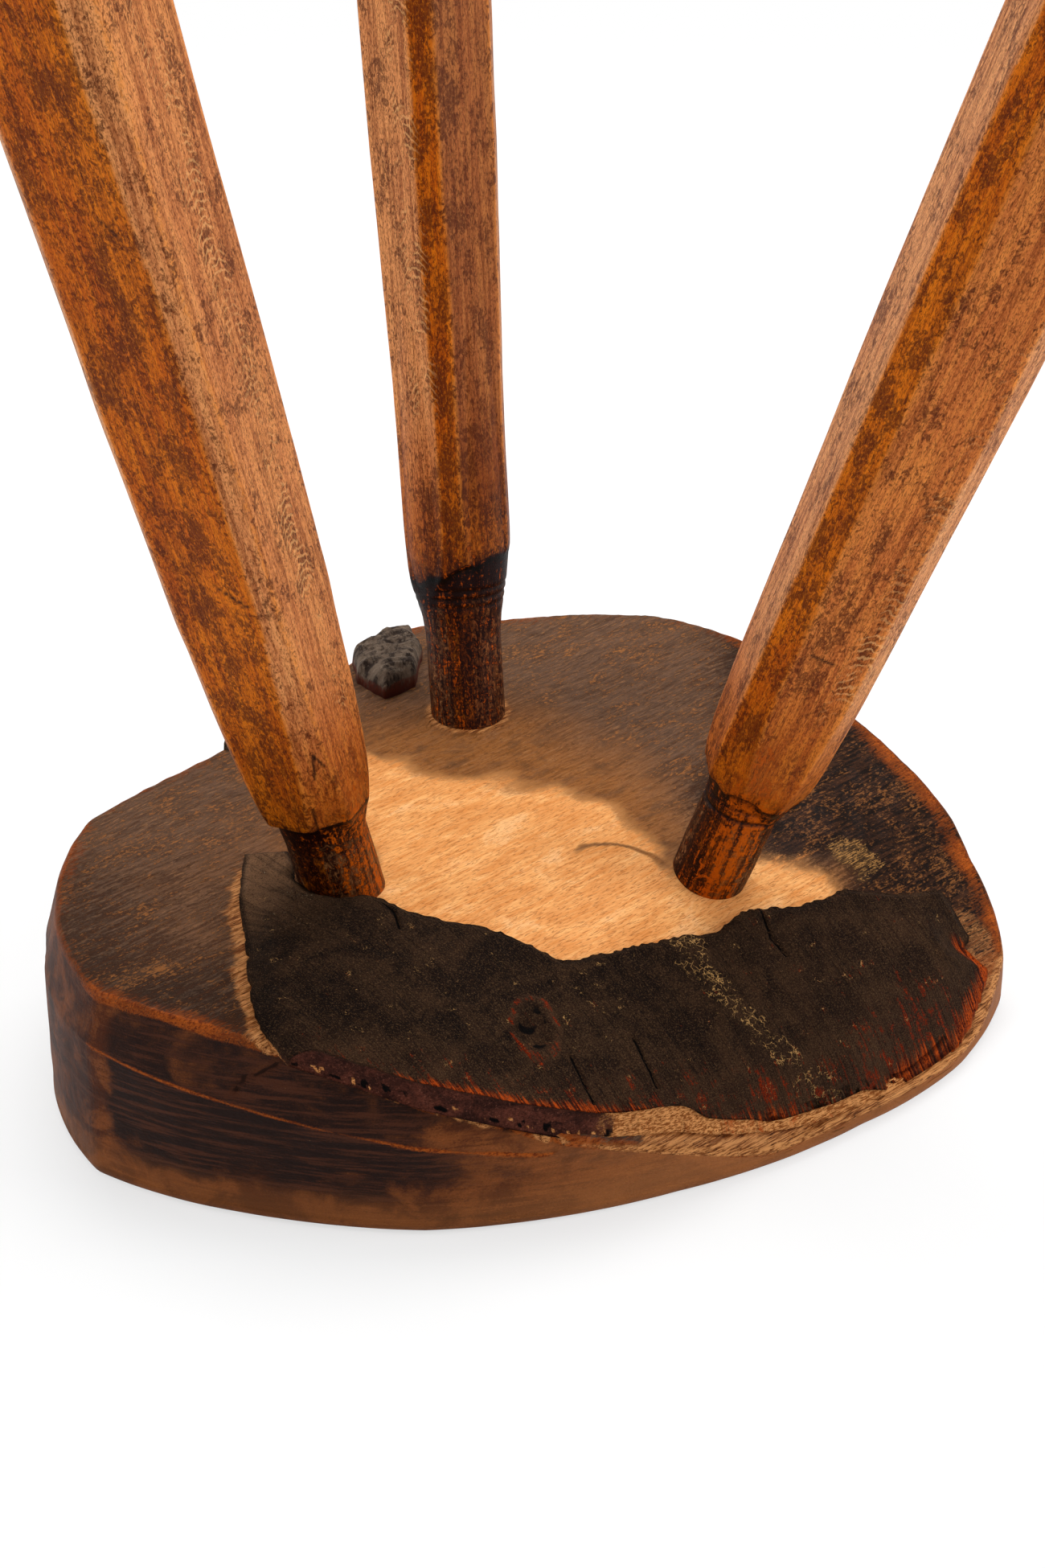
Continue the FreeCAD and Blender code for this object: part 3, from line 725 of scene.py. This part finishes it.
def walk(nodes, spacing=0.5):
    """Points round a closed line of straight runs and arcs. On a run with a radius r the place s from its
    middle bulges to the right of the way by sqrt(r^2 - s^2) - sqrt(r^2 - (length/2)^2)."""
    runs = []
    for (x0, y0, r), (x1, y1, _) in zip(nodes, nodes[1:] + nodes[:1]):
        start, way = np.array([x0, y0]), np.array([x1 - x0, y1 - y0])
        length = np.hypot(*way)
        s = np.arange(0, length, spacing)
        line = start + s[:, None] / length * way
        if r:
            bulge = np.sqrt(r ** 2 - (s - length / 2) ** 2) - np.sqrt(r ** 2 - length ** 2 / 4)
            line = line + bulge[:, None] * np.array([way[1], -way[0]]) / length
        runs.append(line)
    return np.concatenate(runs)


def reach_to(line, middle, theta):
    """Distance from a middle to a closed line round it, seen at an angle."""
    line = line - middle
    around = np.arctan2(line[:, 1], line[:, 0])
    order = np.argsort(around)
    return np.interp(theta, around[order], np.hypot(*line.T)[order], period=2 * np.pi)


def rim_reach(theta):
    """Reach of the outline, as a mean over half a degree to each side: worn corners."""
    offsets = np.radians([-0.5, -0.25, 0, 0.25, 0.5])
    line = walk(SEAT_OUTLINE)
    return sum(reach_to(line, MIDDLE, theta + offset) for offset in offsets) / len(offsets)


def across_log(x, y):
    """Distance from the crown line, positive towards the bark."""
    return x * np.sin(GRAIN) - y * np.cos(GRAIN) - CROWN_OFF


def along_log(x, y):
    return x * np.cos(GRAIN) + y * np.sin(GRAIN)


def log_top(n, crown=SEAT_THICK, radius=LOG_RADIUS):
    """Flat behind the crown line; in front of it a circle: crown - r + sqrt(r^2 - n^2)."""
    return crown - radius + np.sqrt(radius ** 2 - np.clip(n, 0, radius - 1) ** 2)


def inside(x, y, corners):
    """Signed distance to a polygon, positive inside, which is where a ray to +X crosses an
    odd number of its sides."""
    best, odd = near(x, y, corners + corners[:1]), np.zeros(np.shape(x), bool)
    for (x0, y0), (x1, y1) in zip(corners, corners[1:] + corners[:1]):
        cross = (y0 > y) != (y1 > y)
        where = x0 + (y - y0) * (x1 - x0) / (y1 - y0 if y1 != y0 else 1e-9)
        odd ^= cross & (x < where)
    return np.where(odd, best, -best)


reaches = rim_reach(np.linspace(0, 2 * np.pi, 400))
print("rim from the middle: %.0f to %.0f mm" % (reaches.min(), reaches.max()))

# %% Seat
# In plan: the pale middle, the tan round it, the holes of the legs and the edges of the bark.
FRESH = [(-50, 34), (-30, 24), (-8, 20), (14, 14), (32, 2), (40, -10), (52, -22), (62, -22),
         (76, -14), (90, -14), (112, -17), (96, -34), (70, -56), (40, -72), (18, -84),
         (-8, -78), (-30, -74), (-44, -62), (-46, -30), (-50, 0)]
TAN = [(-60, 60), (-30, 72), (0, 70), (26, 50), (52, 22), (64, -4), (60, -20), (112, -10),
       (118, -22), (18, -84), (-50, -60), (-84, -30), (-92, -60), (-86, -84), (-104, -90),
       (-112, -50), (-96, -20), (-70, 10)]
BORES = [(*polar((0, 0), out, np.radians(LEGS[side]["azimuth"])), radius) for side, out, radius
         in (("left", 71, 13.6), ("back", 71, 13.4), ("right", 70.6, 13.2))]
BARK_BACK = [(-86, -37), (-72, -35), (-69, -44), (-69, -52), (-63, -61), (-54, -64),
             (-45, -62), (-40, -65), (-27, -72), (-9, -74), (7, -78), (18, -83), (40, -70),
             (68, -55), (76, -46), (84, -41), (97, -35), (113, -23), (130, -18), (146, -10),
             (156, -17)]
BARK_RIGHT = [(156, -17), (152, -23), (162, -25), (158, -36), (154, -44), (148, -54)]
BARK_FRONT = [(-66, -138.6), (-26, -144.2), (10, -139), (53, -124.3), (66, -117.5),
              (80, -110), (84, -106), (101, -98), (118, -88), (131, -70), (148, -54)]
BARK_LEFT = [(-86, -37), (-86, -62), (-82, -84), (-81, -98), (-79, -112), (-77, -121),
             (-72, -132), (-66, -138.6)]


def top_tones(x, y):
    """Masks of the underside: rubbed bare in the middle, tan round it, sooty outside."""
    depth = inside(x, y, FRESH) + 8 * noise(x, y, 0, 15, 21, 5)
    fresh = step(depth, -5 - 10 * step(y, -30, 8), 7)
    tan = step(inside(x, y, TAN) + 12 * noise(x, y, 0, 20, 22, 5), -22, 16)
    tan = tan * (1 - 0.75 * step(x, -62, -84))
    greyed = np.maximum(step(y, 10, 50) * step(x, 100, 62), 0.8 * step(y, -50, -10)
                        * step(x, -60, -90))
    soot = (1 - 0.85 * greyed) * (1 - tan) * (0.46 + 0.66 * step(x, 40, 90))
    soot = soot * (0.72 + 0.28 * step(y + 0.4 * x, -90, -160)) + 0.18 * (1 - tan)
    return fresh, tan, soot


def wall_tones(x, y, z, rim_x, rim_y, above, front):
    """Masks of the wall: soot above the foot in front, and painted light that makes the walls
    facing front right paler, with paler wood near the foot. The height above the crease
    lightens the bevel."""
    drift = noise(x, y, z, (16, 16, 7), 27, 4)
    dark = step(z + 8 * drift, 2, 26) * step(rim_x + 40 * drift, 24, -44)
    behind = step(rim_y, -30, 40)
    dark = dark * (1 - 0.25 * step(above, -1, 1.5) * front) * (1 - 0.45 * behind)
    dark = dark * np.maximum(step(rim_x, -128, -122), behind)
    dark = dark + 0.55 * step(drift, -0.1, 0.5) * step(rim_x, -20, 30) * step(z, 0, 12)
    outside = dark + 0.5 * step(rim_x, -122, -134) * (1 - behind)
    # Painted light: the walls facing front right are painted paler; near the foot the wall is paler wood.
    lit_right_and_pale_foot = step(rim_x, -30, 90) * step(rim_y, 60, -20) + 0.45 * step(z, 18, 4)
    return outside, lit_right_and_pale_foot


def seat_piece():
    """Rings: r = q (rim - wear) over the underside, a parabola over the edge, z = const
    rings down the bevel and the wall, and the sitting face back to the middle."""
    theta = np.linspace(0, 2 * np.pi, 560, endpoint=False)[None, :]
    reach = rim_reach(theta)
    rim_x, rim_y = polar(MIDDLE, reach, theta)
    brow = np.maximum(log_top(across_log(rim_x, rim_y)), THIN_EDGE)
    front = step(-rim_y, 95, 112) * step(rim_x, 34, 14)
    bend = UPRIGHT - front * np.clip(0.165 * (rim_x + 123), -2, 22)

    def inset(z):
        return BEVEL * np.clip((z - bend) / (SEAT_THICK - UPRIGHT), 0, 1.2)

    wear = 2.2 + 0.8 * noise(rim_x, rim_y, 0, 12, 5, 2)
    edge = reach - inset(brow)
    q, u, v = column(0.004, 1, 100), column(0, 1, 8)[1:], column(0, 1, 6)[1:]
    top_r = q * (edge - wear)
    edge_r = bezier(edge - wear, edge, reach - inset(brow - wear), u)
    crease = np.minimum(bend, brow - wear - 0.6)
    wall_z = np.concatenate([(brow - wear) + column(0, 1, 13)[1:] * (crease - (brow - wear)),
                             crease + column(0, 1, 27)[1:] * (FOOT_UP - crease)])
    foot_r = reach - FOOT_IN * (1 - np.sqrt(np.maximum(1 - v ** 2, 0)))
    under_r = (reach - FOOT_IN) * column(1, 0.01, 22)[1:]

    r = np.concatenate([top_r, edge_r, reach - inset(wall_z), foot_r, under_r])
    x, y = polar(MIDDLE, r, theta)
    top = np.maximum(log_top(across_log(x, y)), THIN_EDGE)
    a, b, c, d = np.cumsum([len(top_r), len(edge_r), len(wall_z), len(foot_r)])
    z = np.empty_like(x)
    z[:a] = top[:a]
    z[a:b] = bezier(top[a - 1], brow, brow - wear, u)
    z[b:c], z[c:d] = wall_z, FOOT_UP * (1 - v)
    z[d:] = 0.30 + 0.2 * noise(x[d:], y[d:], 0, 30, 9)
    up = np.zeros_like(x)
    up[:a], up[a:b] = 1, 1 - u
    side = 1 - up
    side[d:] = 0

    n, l = across_log(x, y), along_log(x, y)
    fresh, tan, soot = top_tones(x, y)

    # Broken places: fibres round the tenons, along the bark, and on the strip at the front.
    bores = np.min([np.hypot(x - bx, y - by) - br for bx, by, br in BORES], axis=0)
    ragged = noise(x, y, 0, 3.0, 23, 3)
    collar = step(bores, 6.0 + 4 * ragged, 0.3) * (0.35 + 0.65 * step(y, 20, 40))
    left_step = step(near(x, y, BARK_LEFT), 11 + 8 * ragged, 0) * step(y, -20, -45)
    strip = step(near(x, y, BARK_FRONT[3:] + BARK_RIGHT[:-1][::-1]), 16, 9) * step(x, 30, 52)
    strip = strip * (1 - 0.55 * step(y, -45, -20))
    crumb = np.clip(0.6 * collar + 0.72 * left_step + strip * up, 0, 1) * step(up, 0, 0.3)
    seam = step(brow - z, 5.0, 1.0) * side * step(np.abs(rim_x + 30), 52, 44) * (rim_y < -90)
    lower_pale = step(brow - z, 3.5, 0.5) * side * step(rim_x, 0, 40) * (rim_y < -10)
    crumb = np.clip(crumb + seam * step(ragged, -0.2, 0.5) + lower_pale, 0, 1)

    # Lines: a dark stain ring, cracks, the knot hole, the seam under the bark band.
    stain = np.hypot((x - 37) / 1.45, y + 25) + 1.6 * noise(x, y, 0, 8, 28, 2) - 9.5
    tide = 0.20 * step(stain, 0.6, -2.5) + 0.8 * step(np.abs(stain), 1.7, 0.3)
    fresh = fresh * (1 - tide * step(y, -28, -19))
    ink = step(np.hypot((x + 4) / 1.5, y - 95), 1.8, 0.8) * up
    ink = ink + seam * step(ragged, 0.1, -0.4) * 0.9
    crack = near(x, z, [(-67, 62), (-72, 55), (-81, 51), (-85, 45)]) + 30 * (rim_y > -100)
    ink = np.clip(ink + step(crack, 0.9, 0.2) * side, 0, 1)
    crust = step(np.hypot((x - 118) / 1.1, y + 2) + 4 * noise(x, y, 0, 5, 26, 3), 11, 4) * up

    # The same places move the surface.
    hand = (0.8 * noise(n, l, 0, (26, 60, 1), 11, 2)
            + 0.22 * noise(n, l, 0, (3.4, 26, 1), 12, 2))
    rough = 0.65 * noise(n, l, 0, (2.2, 5, 1), 13, 3) * (1 - fresh) * (0.5 + 0.5 * (1 - tan))
    lumps = 0.7 * crumb * noise(x, y, 0, 5, 24, 3)
    swell = 1.8 * noise(x, y, 0, 38, 29, 2) * step(y, -40, 20)
    z = z + up * (hand * 0.8 + rough + lumps + 1.6 * collar + swell - 0.8 * crust * ragged)
    z = np.minimum(z, SEAT_THICK + 0.9)
    push = side * (0.5 * noise(x, y, z, (14, 14, 26), 14, 3)
                   + 0.15 * noise(x, y, z, (3, 3, 6), 15, 2) - 0.3)
    push = push + seam * 0.9 * ragged - 0.9 * step(crack, 1.2, 0.1) * side
    push[c:d] *= 0.3
    x, y = x + push * np.cos(theta), y + push * np.sin(theta)

    # Wear: orange where the rim is rubbed. Along the crease of the bevel and the upright corner the
    # orange line is worn wood with a painted highlight.
    rim = np.zeros_like(x)
    inward = (edge - wear) * (1 - q)
    rim[:a] = step(inward, 12 + 6 * step(rim_x, 60, 130), 0) * (
        0.58 + 0.27 * step(rim_x, 60, 130))
    rim[a:b] = 0.72
    fold = np.abs(z - crease) + 40 * (1 - front)
    corner_x, corner_y = SEAT_OUTLINE[0][:2] - MIDDLE
    upright = np.abs(theta - np.arctan2(corner_y, corner_x) % (2 * np.pi)) * reach
    rim[b:c] = np.maximum(0.95 * step(fold[b:c], 1.7, 0.3), 0.7 * step(upright, 1.8, 0.3))
    under_edge = 0.6 * step((brow - wear) - wall_z, 2.0, 0.0) * (1 - strip[b:c])
    rim[b:c] = np.maximum(rim[b:c], under_edge)
    rim[c:d] = 0.42
    rim = np.clip(rim * (0.85 + 0.45 * noise(x, y, z, 12, 25, 3)), 0, 1)

    # On the wall the pale mask is painted light from the right, with paler wood near the foot.
    outside, lit_right_and_pale_foot = wall_tones(x, y, z, rim_x, rim_y, z - crease, front)
    soot = np.clip(up * soot + side * outside, 0, 1)
    tan = np.clip(up * tan + side * lit_right_and_pale_foot, 0, 1)
    fresh = fresh * up

    points = np.stack([x, y, np.maximum(z, 0.0)], -1)
    masks = {"grain": np.stack([n, z, l], -1), "fresh": fresh, "tan": tan, "soot": soot,
             "rim": rim, "crumb": crumb, "wall": side, "ink": ink, "crust": crust}
    mesh_piece("seat_hewn", points[::-1], {k: m[::-1] for k, m in masks.items()}, SEAT_WOOD,
               "seat_slab")


seat_piece()

# %% [markdown]
# ## The bark plate
# The skin of the log stays on the round front. It is a patch between four edges: torn at the
# back, left and right, and cut flush with the rim in front. A Coons patch fills four edges
# with a grid: the two blends of opposite edges, less the blend of the corners.

# %% Bark plate
BARK_CROWN, BARK_RADIUS = 75, 180
KNOT = (9, -112)
GOLD_BAND = [(57, -63), (65, -72), (76, -84), (86, -89), (98, -91), (104, -92)]
BARK_CRACKS = [[(83, -42), (86, -51), (91, -56)], [(-41, -66), (-36, -72), (-34, -80)],
               [(20, -118), (27, -130)], [(40, -104), (47, -117)]]


def resample(line, count, ragged, seed):
    """count points at even steps along a polyline, moved sideways by noise."""
    line = np.asarray(line, float)
    way = np.concatenate([[0], np.cumsum(np.hypot(*np.diff(line, axis=0).T))])
    s = np.linspace(0, way[-1], count)
    even = np.stack([np.interp(s, way, line[:, k]) for k in (0, 1)], -1)
    even[1:-1] = (even[:-2] + 2 * even[1:-1] + even[2:]) / 4
    along = np.gradient(even, axis=0)
    along /= np.hypot(*along.T)[:, None]
    fade = np.sin(np.pi * np.linspace(0, 1, count)) ** 0.5
    wave = noise(s, 0, 0, 5, seed, 3) + 0.4 * noise(s, 0, 0, 1.7, seed + 1)
    sideways = np.stack([-along[:, 1], along[:, 0]], -1)
    return even + (ragged * fade * wave)[:, None] * sideways


def front_rim(count):
    """The front edge: along the rim where the bark is flush with it, then as given."""
    line = resample(BARK_FRONT, count, 1.0, 61)
    theta = np.arctan2(line[:, 1] - MIDDLE[1], line[:, 0] - MIDDLE[0])
    reach = rim_reach(theta) - 1.8 - 3.5 * step(line[:, 0], 20, 60)
    rim = np.stack(polar(MIDDLE, reach, theta), -1)
    flush = step(line[:, 0], 84, 74)[:, None]
    line = flush * rim + (1 - flush) * line
    over = np.hypot(*(line - MIDDLE).T) / np.hypot(*(rim - MIDDLE).T)
    return MIDDLE + (line - MIDDLE) / np.maximum(over, 1)[:, None]


def bark_relief(x, y, n, l):
    """Slow waves, scraped grooves across the log, a sunk knot and cracks, as a height, and
    the masks of the knot, the crackled band and the cracks."""
    groove = noise(l, n, 0, (1.6, 42, 1), 52, 3)
    relief = (0.8 * noise(x, y, 0, 17, 53, 3) + 0.16 * noise(x, y, 0, 2.2, 54, 2)
              - 0.12 * step(groove, 0.0, 0.6) * (0.3 + 0.7 * step(x, 30, -20)))
    knot = np.hypot((x - KNOT[0]) / 6.5, (y - KNOT[1]) / 9.5)
    knot = knot + 0.25 * noise(x, y, 0, 6, 58, 3)
    relief = relief + 0.7 * np.exp(-((knot - 1) / 0.15) ** 2) - 1.3 * step(knot, 0.9, 0.5)
    gold = step(near(x, y, GOLD_BAND) + 5 * noise(x, y, 0, 8, 55, 3), 8.0, 1.5)
    gold = gold * (1 - 0.3 * step(y, -78, -88))
    split = np.min([near(x, y, line) for line in BARK_CRACKS], axis=0)
    relief = relief - 1.3 * step(split, 1.0, 0.1)
    return relief, knot, gold, split


def bark_plate():
    """The patch, its underside, and the broken edges between them, as one loop per step
    along the plate: up the back edge, over the skin, down the front edge, and back."""
    wide, deep, lip = 380, 112, 6
    back, front = resample(BARK_BACK, wide, 1.1, 51), front_rim(wide)
    left, right = resample(BARK_LEFT, deep, 1.3, 71), resample(BARK_RIGHT, deep, 1.2, 81)
    left[0], left[-1], right[0], right[-1] = back[0], front[0], back[-1], front[-1]
    u = np.linspace(0, 1, wide)[:, None, None]
    v = np.linspace(0, 1, deep)[None, :, None]
    patch = ((1 - v) * back[:, None] + v * front[:, None] + (1 - u) * left[None] + u * right[None]
             - (1 - u) * (1 - v) * back[0] - u * (1 - v) * back[-1]
             - (1 - u) * v * front[0] - u * v * front[-1])
    x, y = patch[..., 0], patch[..., 1]
    n, l = across_log(x, y), along_log(x, y)
    to_front = near(x, y, BARK_FRONT[4:] + BARK_RIGHT[::-1][1:])
    to_edge = np.minimum(near(x, y, BARK_BACK + BARK_RIGHT[1:] + BARK_FRONT[::-1][1:7]),
                         near(x, y, BARK_LEFT))
    wood = log_top(n)
    thick = log_top(n, BARK_CROWN, BARK_RADIUS) - wood
    thick = thick * (1 - 0.5 * step(to_front, 12, 0) * step(x, 20, 64))
    thick = thick * (1 - 0.55 * step(near(x, y, BARK_LEFT), 9, 0) * step(y, -60, -75))
    thick = thick - np.minimum(1.4, 0.3 * thick) * step(to_edge, 3.0, 0)

    relief, knot, gold, split = bark_relief(x, y, n, l)
    chip = step(np.hypot((x - 80) / 1.2, y + 46), 7, 4)
    z_top = wood + thick + relief * step(to_edge, 0, 4) + 0.7 * chip - 0.3
    z_top = np.minimum(z_top, BARK_CROWN - 0.1)
    z_low = np.maximum(wood, THIN_EDGE) - 1.2

    def wall(edge, share):
        """One line down a broken edge: its fibres stand in and out of the line."""
        place, push = patch[:, edge], noise(l[:, edge], n[:, edge], 30 * share, 1.6, 59, 2)
        way = np.gradient(place, axis=0)
        way = way / np.maximum(np.hypot(*way.T), 1e-6)[:, None]
        outward = np.stack([way[:, 1], -way[:, 0]], -1) * (1 if edge else -1)
        shift = (0.5 * push - 0.3) * np.sin(np.pi * np.linspace(0, 1, wide)) ** 0.3
        if edge:
            shift = shift + 3.5 * share * step(place[:, 0], 20, 60)
        z = z_top[:, edge] * (1 - share) + z_low[:, edge] * share
        return np.concatenate([place + shift[:, None] * outward, z[:, None]], -1)

    shares = np.linspace(0, 1, lip + 2)[1:-1]
    half = lip // 2
    loop = ([wall(0, share) for share in shares[:half][::-1]]
            + [np.stack([x[:, j], y[:, j], z_top[:, j]], -1) for j in range(deep)]
            + [wall(-1, share) for share in shares]
            + [np.stack([x[:, j], y[:, j], z_low[:, j]], -1) for j in range(deep)[::-1]]
            + [wall(0, share) for share in shares[half:][::-1]])
    points = np.stack(loop, 1)

    def over(mask):
        """A mask of the skin, carried over both broken edges and the underside."""
        return np.concatenate([mask[:, :1]] * half + [mask] + [mask[:, -1:]] * lip
                              + [mask[:, ::-1]] + [mask[:, :1]] * (lip - half), axis=1)

    # Masks: the skin's own, and red, purple brown or fibrous broken edges.
    skin = np.zeros(points.shape[:2])
    skin[:, half:half + deep] = 1
    px, py = points[..., 0], points[..., 1]
    side = (1 - skin) * step(px, 50, 20) * step(py, -76, -86) * step(px, -72, -60)
    to_front = near(x, y, BARK_FRONT) + 6 * step(x, -20, -60)
    glow = np.minimum(to_front, near(x, y, BARK_RIGHT[1:]))
    glow = step(glow, 7.0, 0.3) * 0.75
    edge = np.clip(over(glow) * (1 - side) + (1 - skin) * (1 - side) * 0.5, 0, 1)
    red = (0.42 * step(to_front, 22, 2) + 0.20 * step(x, 20, 100)
           + 0.6 * step(np.abs(knot - 1.1), 0.25, 0.05) + 0.2 * step(knot, 1.0, 0.8))
    torn = noise(px, py, points[..., 2], 4, 57, 3)
    low = np.zeros(points.shape[:2])
    low[:, half + deep:half + deep + lip] = shares
    grains = noise(px, py, points[..., 2], 1.6, 62, 2)
    crumbs = step(low, 0.5, 0.75) * side * step(grains + 0.4 * torn, 0.25, 0.55) * 0.8
    bare = (1 - skin) * (step(px, 18, 40) * (py < -20) + step(px, -60, -72) * (py < -60))
    bare = np.clip(bare * (0.75 + 0.5 * torn) + crumbs, 0, 1)
    grey = step(np.hypot(x + 82, (y + 44) * 0.8), 40, 8) * step(to_edge, 0, 2)
    pits = step(noise(x, y, 0, 2.5, 60, 2), -0.3, 0.3)
    ink = step(split, 0.7, 0.1) + 0.8 * step(knot, 0.95, 0.7) * pits
    ink = over(np.clip(ink, 0, 1)) * skin + side * step(low, 0.4, 0.7) * step(torn, -0.05, -0.3)
    masks = {"grain": np.stack([over(n), points[..., 2], over(l)], -1), "edge": edge,
             "side": side, "gold": over(gold) * skin, "red": over(np.clip(red, 0, 1)) * skin,
             "grey": over(np.clip(grey, 0, 1)), "ink": ink, "bare": bare}
    mesh_piece("bark_skin_plate", points, masks, BARK_SKIN, "bark_plate", "zip")


bark_plate()

# %% [markdown]
# ## Bits of bark at the back rim
# A rugged lump and a small crumb of bark stayed at the rim. Each is rings round its own
# middle, with deep fissures from ridged noise: 1 - |noise|.

# %% Bits of bark


def bark_bit(name, corners, thick, seed, node, count=150, rings=44):
    """A lump with this outline: (1 - q^9)^(1/2) gives it steep sides and a flat back."""
    middle = np.mean(corners, axis=0)
    theta = np.linspace(0, 2 * np.pi, count, endpoint=False)[None, :]
    line = walk([(x, y, 0) for x, y in corners], spacing=0.2)
    reach = reach_to(line, middle, theta)
    q = column(0.02, 1, rings)
    x, y = polar(middle, q * reach * 0.97, theta)
    cell = (thick * 1.6, thick * 0.5, 1)
    ridge = 1 - np.abs(noise(x + 0.4 * y, y - 0.4 * x, 0, cell, seed, 4)) * 1.8
    lump = np.sqrt(np.maximum(1 - q ** 9, 0))
    z = SEAT_THICK - 0.6 + (thick + 0.4) * lump * (0.74 + 0.24 * ridge)
    wobble = 0.05 * reach * noise(x, y, z, thick * 0.5, seed + 1, 2) * q
    top = np.stack([x + wobble * np.cos(theta), y + wobble * np.sin(theta), z], -1)
    under_x, under_y = polar(middle, column(1, 0.02, 8)[1:] * reach * 0.97, theta)
    under = np.stack([under_x, under_y, np.full_like(under_x, SEAT_THICK - 0.8)], -1)
    points = np.concatenate([top, under])[::-1]
    # edge marks the steep sides and the underside, which the crust paints as shade under the lump.
    edge = np.concatenate([step(q, 0.94, 1.0) + 0 * x, np.ones_like(under_x)])[::-1]
    mesh_piece(name, points, {"grain": points, "edge": edge}, BARK_CRUST, node)


LUMP = [(-55, 91), (-44, 80), (-33, 90), (-31, 110), (-35, 124), (-45, 121), (-57, 106)]
CRUMB = [(-99, 42), (-94, 43), (-93, 51), (-97, 52)]
bark_bit("bark_rugged_lump", LUMP, 11, 91, "bark_chunk")
bark_bit("bark_small_crumb", CRUMB, 5, 95, "bark_nub", 60, 16)

# %% [markdown]
# ## Wedges
# The wedges that spread the tenons are seen only on the sitting face. Their CAD shape is
# right, so they only need a finish: split wood, in Object coordinates.

# %% Wedges


def wedge_wood():
    p = Paint("wedge_wood", Specular_IOR_Level=0.35)
    where = p.add("ShaderNodeTexCoord", {}, {}, 3)
    large = p.add("ShaderNodeVectorMath", {"operation": "SCALE"}, {0: where, "Scale": 1 / MM})
    streak = p.noise(large, (0.7, 0.7, 12), 3)
    colour = p.mix(streak, (176, 128, 84), (126, 84, 52))
    return p.finish(colour, 0.6 + 0.1 * streak, streak, 0.3)


WEDGE_WOOD = wedge_wood()
for side in LEGS:
    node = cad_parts["wedge_" + side]
    node.data.materials.clear()
    node.data.materials.append(WEDGE_WOOD)
print("wedges painted")

# %% [markdown]
# ## Floor, sky and lamps
# A white sweep of paper. Where the camera or a glossy reflection sees it, it glows as well,
# fully so from 1.1 m away, so that it is white and still takes the stool's shadow. The light
# is a large soft box overhead, one at each side and a weak one at the front, and a sky, so
# that a colour renders about as it is written.

# %% Floor
floor_mesh = bpy.data.meshes.new("floor")
floor_mesh.from_pydata([(-6, -6, 0), (6, -6, 0), (6, 6, 0), (-6, 6, 0)], [], [(0, 1, 2, 3)])
floor = bpy.data.objects.new("floor", floor_mesh)
floor.location.z = -0.0004
bpy.context.collection.objects.link(floor)


def floor_paper():
    p = Paint("floor_paper", Roughness=0.9, Specular_IOR_Level=0.1)
    p.shader.inputs["Base Color"].default_value = (0.86, 0.86, 0.86, 1)
    white = p.add("ShaderNodeEmission", {}, {"Color": (1, 1, 1, 1), "Strength": 1.0})
    where = p.add("ShaderNodeTexCoord", {}, {}, 3)
    away = p.add("ShaderNodeVectorMath", {"operation": "LENGTH"}, {0: where}, 1)
    seen, mirrored = (p.add("ShaderNodeLightPath", output=k) for k in (0, 3))
    share = (seen + mirrored) * (0.62 + 0.38 * p.between(away, 0.45, 1.1))
    mixed = p.add("ShaderNodeMixShader", {},
                  {0: share, 1: Wire(p, p.shader.outputs[0]), 2: white})
    out = next(n for n in p.tree.nodes if n.type == "OUTPUT_MATERIAL")
    p.feed(out.inputs["Surface"], mixed)
    return p.material


floor_mesh.materials.append(floor_paper())
print("floor ready")

# %% Sky and lamps
SKY = 0.42              # how strongly the sky lights the stool; the camera sees plain white

world = bpy.data.worlds.new("studio")
bpy.context.scene.world = world
world.use_nodes = True
tree = world.node_tree
tree.nodes.clear()
path, either, mixed, sky = (tree.nodes.new("ShaderNode" + kind) for kind in (
    "LightPath", "Math", "MixShader", "OutputWorld"))
either.operation = "MAXIMUM"
for index, strength in ((1, SKY), (2, 1.0)):
    glow = tree.nodes.new("ShaderNodeBackground")
    glow.inputs["Color"].default_value = (1, 1, 1, 1)
    glow.inputs["Strength"].default_value = strength
    tree.links.new(glow.outputs[0], mixed.inputs[index])
for index, ray in enumerate(("Is Camera Ray", "Is Transmission Ray")):
    tree.links.new(path.outputs[ray], either.inputs[index])
tree.links.new(either.outputs[0], mixed.inputs[0])
tree.links.new(mixed.outputs[0], sky.inputs["Surface"])


def soft_box(name, place, target, size, power):
    """A rectangular lamp that faces its target."""
    lamp = bpy.data.lights.new(name, "AREA")
    lamp.shape, lamp.size, lamp.size_y, lamp.energy = "RECTANGLE", size[0], size[1], power
    thing = bpy.data.objects.new(name, lamp)
    turn = (Vector(target) - Vector(place)).to_track_quat("-Z", "Y").to_matrix().to_4x4()
    thing.matrix_world = Matrix.Translation(place) @ turn
    bpy.context.collection.objects.link(thing)
    print("lamp", name, power, "W")


soft_box("overhead", (0.10, 0.75, 1.75), (0, 0, 0.1), (1.7, 1.1), 30)
soft_box("right", (1.6, -0.25, 0.95), (0, 0, 0.12), (0.9, 1.3), 16)
soft_box("left", (-1.6, 0.15, 0.95), (0, 0, 0.12), (0.9, 1.3), 12)
soft_box("front", (0.2, -1.9, 1.3), (0, 0, 0.12), (1.0, 0.8), 4)
bpy.context.scene.view_settings.view_transform = "Standard"
